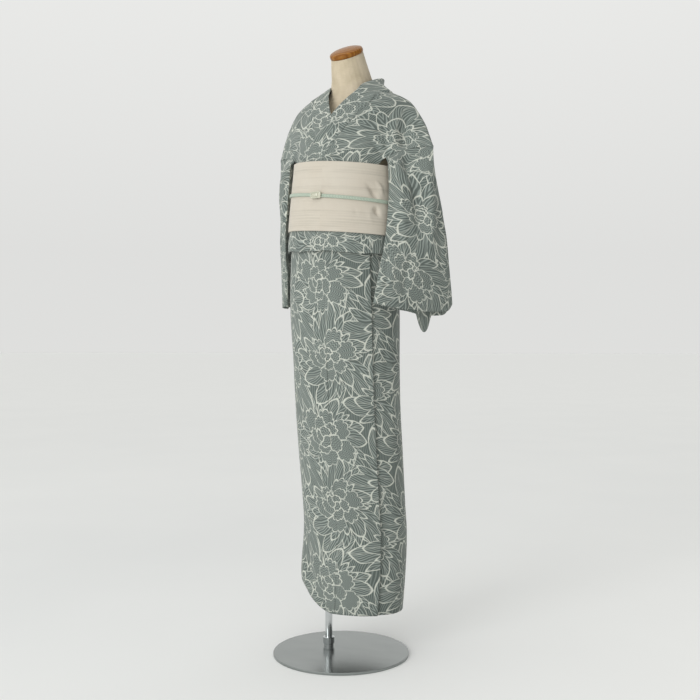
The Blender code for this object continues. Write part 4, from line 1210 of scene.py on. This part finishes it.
def form_linen():
    """Tightly stretched linen with uneven yarns."""
    made, shader = start_material("form linen", 0.9, sheen=0.10)
    place = solid_coordinates()
    x, y, z = parts(place)
    round_it = bearing(x - MIDDLE_X, y - 0.05) * 0.055
    flat = joined(round_it, z)
    across, along = threads(flat, 1000.0, 60.0)
    cloud, _ = noise(place, 26.0, 3.0)
    colour = mixed(rise(cloud, 0.30, 0.75), (0.535, 0.455, 0.318), (0.680, 0.585, 0.440))
    plug(toned(colour, 0.84 + across * 0.18 + along * 0.14), shader.inputs["Base Color"])
    bump(plain_weave(round_it, z, 0.0012) * 0.00004 + (across + along) * 0.00016, shader)
    return made


def cap_wood():
    """Varnished wood, its grain running across the cap."""
    made, shader = start_material("cap wood", 0.42, coat=0.22)
    shader.inputs["Specular IOR Level"].default_value = 0.15
    place = solid_coordinates()
    bend, _ = noise(place, 9.0, 2.0)
    x, y, z = parts(place)
    rings = sine((y * 0.9 + z * 0.4 + bend * 0.030) * (2 * math.pi / 0.0085))
    fibre, _ = noise(scaled(place, (45, 700, 700)), 1.0, 2.0)
    colour = mixed(rise(rings, -1.0, 1.0), (0.345, 0.145, 0.022), (0.230, 0.080, 0.008))
    plug(toned(colour, 0.84 + fibre * 0.32), shader.inputs["Base Color"])
    plug(0.30 + fibre * 0.14, shader.inputs["Roughness"])
    bump(fibre * 0.00010 + rings * 0.00003, shader, 0.6)
    return made


def brushed_steel():
    """The base: brushed one way, with faint smears and a few scratches."""
    made, shader = start_material("brushed steel", 0.25, metallic=1.0)
    place = solid_coordinates()
    turned_to = scaled(place, (22, 900, 1))
    brush, _ = noise(turned_to, 1.0, 2.0)
    smear, _ = noise(scaled(place, (9, 22, 1)), 1.0, 2.0)
    scratch, _ = noise(scaled(place, (16, 210, 1)), 1.0, 1.0)
    fine = rise(scratch, 0.72, 0.80)
    colour = mixed(smear, (0.255, 0.278, 0.273), (0.350, 0.372, 0.363))
    plug(toned(colour, 0.94 + brush * 0.10 - fine * 0.12), shader.inputs["Base Color"])
    plug(0.12 + brush * 0.08 + smear * 0.10, shader.inputs["Roughness"])
    bump(brush * 0.000004 + fine * 0.000004, shader, 0.5)
    return made


def chrome():
    """Polished tube, drawn lengthwise, with faint handling marks."""
    made, shader = start_material("polished steel", 0.10, metallic=1.0)
    place = solid_coordinates()
    drawn, _ = noise(scaled(place, (900, 900, 12)), 1.0, 1.0)
    marks, _ = noise(place, 45.0, 3.0)
    colour = mixed(marks, (0.520, 0.545, 0.550), (0.640, 0.660, 0.665))
    plug(toned(colour, 0.96 + drawn * 0.06), shader.inputs["Base Color"])
    plug(0.06 + marks * 0.09 + drawn * 0.04, shader.inputs["Roughness"])
    bump(drawn * 0.000006, shader, 0.5)
    return made


# ---- pieces
SHOWN_ROWS, HIDDEN_ROWS = 190, 60       # rows of points up a panel of the skirt
SKIRT_SWELL = 0.0012                    # slow swells of the panels that show
SLEEVE_TOP_DIP = (0.0060, 0.0014, 0.0, 1.0)     # the sleeve's top sinks: how wide, how deep, from, to
BRAID_AROUND, BRAID_SECTION = 300, 12   # points round the obi, and round the cord
FRAME_RADIUS, OPENING_RADIUS, PLATE_RADIUS = 0.0035, 0.0022, 0.0016     # corners of the clasp
PLATE_WIDTH, PLATE_HEIGHT = 0.46, 0.60  # shares of the clasp that its plate takes


def take(piece, material, slot, *nodes):
    """Gives a piece its material, hangs it on the root body and hides the solids that it stands for."""
    piece.data.materials.append(material)
    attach(piece, "root")
    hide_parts(*nodes)
    return piece


def skirt(cotton):
    panels = (
        # name, from, to, columns, sewn sides, where the print lies on it, the cut that shows
        ("skirt_okumi_left", OKUMI_EDGE, OKUMI_SEAM, 60, (), (0.000, 0.000), (0.165, 0.950)),
        ("skirt_front_left", OKUMI_SEAM, SIDE_TUCK, 44, ("last",), (0.140, 0.000), (0.117, 0.965)),
        ("skirt_back_left", SIDE_TUCK - TUCK_UNDER, BACK_SEAM, 90, ("first", "last"), (0.260, 0.100),
         (0.280, 0.965)),
        ("skirt_back_right", BACK_SEAM, RIGHT_SIDE, 90, ("first",), (0.390, 0.150), (0.280, 0.945)),
        ("skirt_front_right", RIGHT_SIDE, UNDER_SEAM, 50, ("first", "last"), (0.520, 0.200), (0.232, 0.902)),
        ("skirt_okumi_right", UNDER_SEAM, UNDER_EDGE, 24, ("first",), (0.650, 0.250), (0.087, 0.902)),
    )
    seam = math.degrees(SEAM / 2 / SKIRT_RINGS[0][4])
    grids = []
    for name, start, end, columns, *_ in panels:
        surface = skirt_surface(name, start + seam, end - seam)
        grids.append(laid(surface, evenly(columns), evenly(SHOWN_ROWS if end < UNDER_SEAM else HIDDEN_ROWS)))
    folds = carried(SKIRT_FOLDS, [grid for grid, panel in zip(grids, panels) if panel[2] < UNDER_SEAM])
    for (name, _, end, _, sewn, lay, cut), grid in zip(panels, grids):
        shown = end < UNDER_SEAM
        made = shell("cloth_" + name, grid, folds=folds if shown else (), loose=SKIRT_SWELL if shown else 0.0,
                     seams=sewn, hems=("low",), lay=(*lay, 0))
        take(made, cotton, "robe", name)


def tuck(cotton):
    rows = evenly(4, 0, 0.2) + evenly(16, 0.2, 0.5)[1:] + evenly(12, 0.5, 0.75)[1:] + evenly(4, 0.75, 1.0)[1:]
    rows = [1 - r for r in rows][::-1]
    panels = (
        ("tuck_left", OKUMI_EDGE + 3, BACK_SEAM - 0.1, 170, (0.565, 0.100)),
        ("tuck_right", BACK_SEAM + 0.1, 360 + OKUMI_EDGE + 2.6, 90, (0.270, 0.092)),
    )
    grids = []
    for _, start, end, columns, _ in panels:
        surface = tuck_surface(start, end)
        grids.append(laid(lambda s, t: surface(s, 1 - t), evenly(columns), rows))
    folds = carried(TUCK_FOLDS, grids)
    for (name, _, _, _, cut), grid in zip(panels, grids):
        made = shell("cloth_" + name, grid, folds=folds, lay=(0.07, 0.31, 0))
        take(made, cotton, "robe", name)


def bodice(cotton):
    rows = evenly(6, 0, 0.1) + evenly(60, 0.10, 0.5)[1:] + evenly(56, 0.5, 0.90)[1:] + evenly(6, 0.9, 1.0)[1:]
    under_collar = (0.0075, 0.0016, 0.0, 0.1 + 0.8 * 123.5 / 180)
    left, right = bodice_surface(1), bodice_surface(-1)
    grids = [laid(left, evenly(70), rows), laid(lambda s, t: right(1 - s, t), evenly(70), rows)]
    folds = carried(BODICE_FOLDS, grids)
    for name, grid, edge, lay in (("bodice_left", grids[0], "first", (0.20, 0.11, 0)),
                                  ("bodice_right", grids[1], "last", (0.02, 0.27, 0))):
        made = shell("cloth_" + name, grid, folds=folds, lay=lay, dips=((edge, *under_collar),))
        take(made, cotton, "robe", name)


def collar(cotton):
    surface, last = collar_surface()
    made = shell("cloth_collar", laid(surface, evenly(last * 10), evenly(16)), thickness=COLLAR_CLOTH,
                 dips=(("high", 0.0040, 0.0008, 0.0, 1.0), ("low", 0.0020, 0.0006, 0.0, 1.0)),
                 lay=(0.09, 0.0, math.pi / 2))
    take(made, cotton, "robe", "collar")


def sleeves(cotton):
    rows = evenly(10, 0, 0.1) + evenly(90, 0.1, 1.0)[1:]
    columns = evenly(200)[:-1]
    left, right = sleeve_surface(1), sleeve_surface(-1)
    upward = [1 - r for r in rows][::-1]
    grids = [laid(lambda s, t: left(s, 1 - t), columns, upward), laid(right, columns, rows)]
    folds = carried(SLEEVE_FOLDS, grids)
    for name, grid, hem, top, lay, cut in (
        ("sleeve_left", grids[0], "low", "high", (0.17, 0.06, math.pi / 2), (0.400, 0.385)),
        ("sleeve_right", grids[1], "high", "low", (0.04, 0.22, math.pi / 2), (0.290, 0.375)),
    ):
        made = shell("cloth_" + name, grid, folds=folds, closed=True, hems=(hem,), lay=lay,
                     dips=((top, *SLEEVE_TOP_DIP),))
        take(made, cotton, "robe", name)
        "cloth_" + name.replace("sleeve", "bodice")


def obi():
    weave = obi_weave()
    grid = laid(obi_surface(0, 360), evenly(240)[:-1], evenly(60))
    folds = carried(OBI_FOLDS, [grid])
    band = shell("cloth_obi", grid, folds=folds, thickness=OBI_CLOTH, closed=True)
    take(band, weave, "obi", "obi")
    end = obi_surface(*OBI_END, OBI_CLOTH + LAYER, 0.012, 0.988)
    flap = shell("cloth_obi_end", laid(end, evenly(40), evenly(40)), folds=folds, thickness=OBI_CLOTH)
    take(flap, weave, "obi", "obi_end")


def obi_cord():
    """A flat braid right round the obi, its section rounded."""
    around, section = BRAID_AROUND, BRAID_SECTION
    points, faces, corners = [], [], []
    for i in range(around):
        degrees = 360 * i / around
        z = band_level(CORD_LEVEL, CORD_SLOPE, degrees)
        for j in range(section):
            turn = 2 * math.pi * j / section
            side, out = math.cos(turn), math.sin(turn)
            out = math.copysign(abs(out) ** 0.8, out)
            side = math.copysign(abs(side) ** 0.6, side)
            points.append(ring_point(OBI_RINGS, z + CORD_WIDTH / 2 * side, degrees,
                                     cord_out(degrees) - CORD_THICK / 2 * (1 - out) + 0.0004))
    rim = np.array(points[::section])
    length = np.linalg.norm(np.roll(rim, -1, axis=0) - rim, axis=1).sum()
    for i in range(around):
        for j in range(section):
            a, b = i, (i + 1) % around
            c, d = j, (j + 1) % section
            faces.append((a * section + c, b * section + c, b * section + d, a * section + d))
            for p, q in ((i, j), (i + 1, j), (i + 1, j + 1), (i, j + 1)):
                side = (q / section) * 2
                corners.append(((1 - abs(side - 1) * 2) * CORD_WIDTH / 2, p / around * length))
    mesh = bpy.data.meshes.new("braid_obi_cord")
    mesh.from_pydata([tuple(p) for p in points], [], faces)
    mesh.uv_layers.new(name="cut").data.foreach_set("uv", np.array(corners).ravel())
    mesh.shade_smooth()
    made = bpy.data.objects.new("braid_obi_cord", mesh)
    bpy.context.scene.collection.objects.link(made)
    take(made, mint_braid(), "cord", "obi_cord")


def rounded_frame(width, height, radius, steps=6):
    """Points round a rectangle with rounded corners, from its right side on."""
    made = []
    for k, (sx, sz) in enumerate(((1, 1), (-1, 1), (-1, -1), (1, -1))):
        for j in range(steps + 1):
            turn = math.pi / 2 * (k + j / steps)
            made.append((sx * (width / 2 - radius) + radius * math.cos(turn),
                         sz * (height / 2 - radius) + radius * math.sin(turn)))
    return made


def obi_clasp():
    """A small frame with a raised plate across it that the cord runs behind."""
    wide, thick, tall = CLASP_SIZE
    shape = bmesh.new()

    def slab(rings):
        loops = [[shape.verts.new((x, y, z)) for x, z in ring] for ring, y in rings]
        for low, high in zip(loops, loops[1:]):
            for k in range(len(low)):
                j = (k + 1) % len(low)
                shape.faces.new((low[k], low[j], high[j], high[k]))
        return loops

    insets = (0.0006, 0.0, 0.0, 0.0005, 0.0010)
    outer = [rounded_frame(wide - e * 2, tall - e * 2, FRAME_RADIUS - e) for e in insets]
    inner = [rounded_frame(wide - e * 2, tall - e * 2, OPENING_RADIUS) for e in (0.0026, 0.0030)]
    low, high = thick / 2, -thick / 2
    rings = list(zip(outer, (low, low - 0.0005, high + 0.0009, high + 0.0003, high)))
    rings += [(inner[0], high), (inner[1], high + 0.0004), (inner[1], high + 0.0012)]
    loops = slab(rings)
    shape.faces.new(loops[0][::-1])
    shape.faces.new(loops[-1])
    plate = [rounded_frame(wide * PLATE_WIDTH - e * 2, tall * PLATE_HEIGHT - e * 2, PLATE_RADIUS)
             for e in (0.0, 0.0003, 0.0012)]
    loops = slab(list(zip(plate, (high + 0.0014, high + 0.0004, high - 0.0001))))
    shape.faces.new(loops[-1])
    shape.faces.new(loops[0][::-1])
    bmesh.ops.recalc_face_normals(shape, faces=shape.faces)
    z = band_level(CORD_LEVEL, CORD_SLOPE, CLASP_AT)
    place = ring_point(OBI_RINGS, z, CLASP_AT, cord_out(CLASP_AT) + CLASP_GAP + LAYER + thick / 2)
    lean = Matrix.Translation(place) @ Matrix.Rotation(math.radians(CLASP_AT * 0.75), 4, "Z")
    shape.transform(lean)
    mesh = bpy.data.meshes.new("clasp_frame")
    shape.to_mesh(mesh)
    shape.free()
    mesh.shade_smooth()
    mesh.set_sharp_from_angle(angle=math.radians(50))
    made = bpy.data.objects.new("clasp_frame", mesh)
    bpy.context.scene.collection.objects.link(made)
    take(made, clasp_shell(), "clasp", "obi_clasp")


def dress(node, material):
    """A solid whose shape is right keeps it and takes a better finish."""
    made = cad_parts[node]
    made.data.materials.clear()
    made.data.materials.append(material)


def form_and_stand():
    dress("form_torso", form_linen())
    dress("form_cap", cap_wood())
    dress("stand_base", brushed_steel())
    polished = chrome()
    for node in ("stand_socket", "stand_pole"):
        dress(node, polished)


# ---- stage
SKY_COLOUR = (1.0, 1.003, 0.985, 1)
SKY_LOW, SKY_HIGH = 0.735, 1.00         # at the horizon and overhead
SHADE_AZIMUTH, SHADE_DEPTH = math.radians(12), 0.78    # the studio is darker on one side
LAMPS = (
    # name, side, back, height, width, tall, watts
    ("key", -3.8, 4.6, 2.4, 2.8, 3.6, 134),
)


def studio_sky(world):
    """An even pale studio, brighter overhead and darker on the side away from the windows."""
    world.use_nodes = True
    Number.tree = world.node_tree
    x, y, z = parts(Number.tree.nodes.new("ShaderNodeTexCoord").outputs["Generated"])
    shade = rise(x * math.cos(SHADE_AZIMUTH) + y * math.sin(SHADE_AZIMUTH), 0.30, 0.85) * SHADE_DEPTH
    level = (SKY_LOW + (SKY_HIGH - SKY_LOW) * rise(z, 0.10, 0.9)) * (1 - shade)
    sky = world.node_tree.nodes["Background"]
    sky.inputs[0].default_value = SKY_COLOUR
    plug(level, sky.inputs[1])


def towards(place, target):
    return (Vector(target) - Vector(place)).to_track_quat("-Z", "Y").to_euler()


def stage():
    bpy.ops.mesh.primitive_plane_add(size=400)
    floor = bpy.context.object
    floor.name = "floor"
    made, shader = start_material("pale floor", 0.8)
    place = solid_coordinates()
    x, y, _ = parts(place)
    patches, _ = noise(place, 1.5, 3.0)
    # Painted light: near the stand the floor is darker towards -X and paler towards +X, and far off it turns
    # paler to meet the sky; the noise patches are its own uneven tone.
    patches_and_painted_light = (rise(x, -1.2, 1.2) - 0.5) * rise(distance(x, y), 3.0, 1.2) + patches * 0.3 + 0.30
    patches_and_painted_light = patches_and_painted_light + rise(distance(x, y), 3.0, 12.0) * 0.30
    plug(mixed(patches_and_painted_light, (0.795, 0.805, 0.800), (0.920, 0.923, 0.910)), shader.inputs["Base Color"])
    floor.data.materials.append(made)
    right = np.array((math.cos(CAMERA_AZIMUTH), math.sin(CAMERA_AZIMUTH), 0))
    ahead = np.array((-math.sin(CAMERA_AZIMUTH), math.cos(CAMERA_AZIMUTH), 0))
    scene = bpy.context.scene
    data = bpy.data.cameras.new("camera")
    data.lens, data.sensor_width = LENS, SENSOR
    camera = bpy.data.objects.new("camera", data)
    camera.location = right * CAMERA_SIDE - ahead * CAMERA_BACK + np.array((0, 0, CAMERA_HEIGHT))
    camera.rotation_euler = (math.pi / 2, 0, CAMERA_AZIMUTH)
    scene.collection.objects.link(camera)
    scene.camera = camera
    scene.view_settings.view_transform = "Standard"
    world = bpy.data.worlds.new("studio")
    scene.world = world
    studio_sky(world)
    for name, side, back, height, width, tall, watts in LAMPS:
        light = bpy.data.lights.new(name, "AREA")
        light.shape, light.size, light.size_y, light.energy = "RECTANGLE", width, tall, watts
        lamp = bpy.data.objects.new(name, light)
        lamp.location = right * side - ahead * back + np.array((0, 0, height))
        lamp.rotation_euler = towards(lamp.location, (0, 0, 0.8))
        scene.collection.objects.link(lamp)


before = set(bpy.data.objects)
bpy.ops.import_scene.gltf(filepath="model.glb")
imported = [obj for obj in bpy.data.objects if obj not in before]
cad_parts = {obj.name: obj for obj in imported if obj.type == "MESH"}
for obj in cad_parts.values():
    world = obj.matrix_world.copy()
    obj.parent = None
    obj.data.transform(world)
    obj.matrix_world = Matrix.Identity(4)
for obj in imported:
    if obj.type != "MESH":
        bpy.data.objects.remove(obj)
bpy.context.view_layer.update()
stage()
cotton = yukata_cotton()
skirt(cotton)
tuck(cotton)
bodice(cotton)
collar(cotton)
sleeves(cotton)
obi()
obi_cord()
obi_clasp()
form_and_stand()
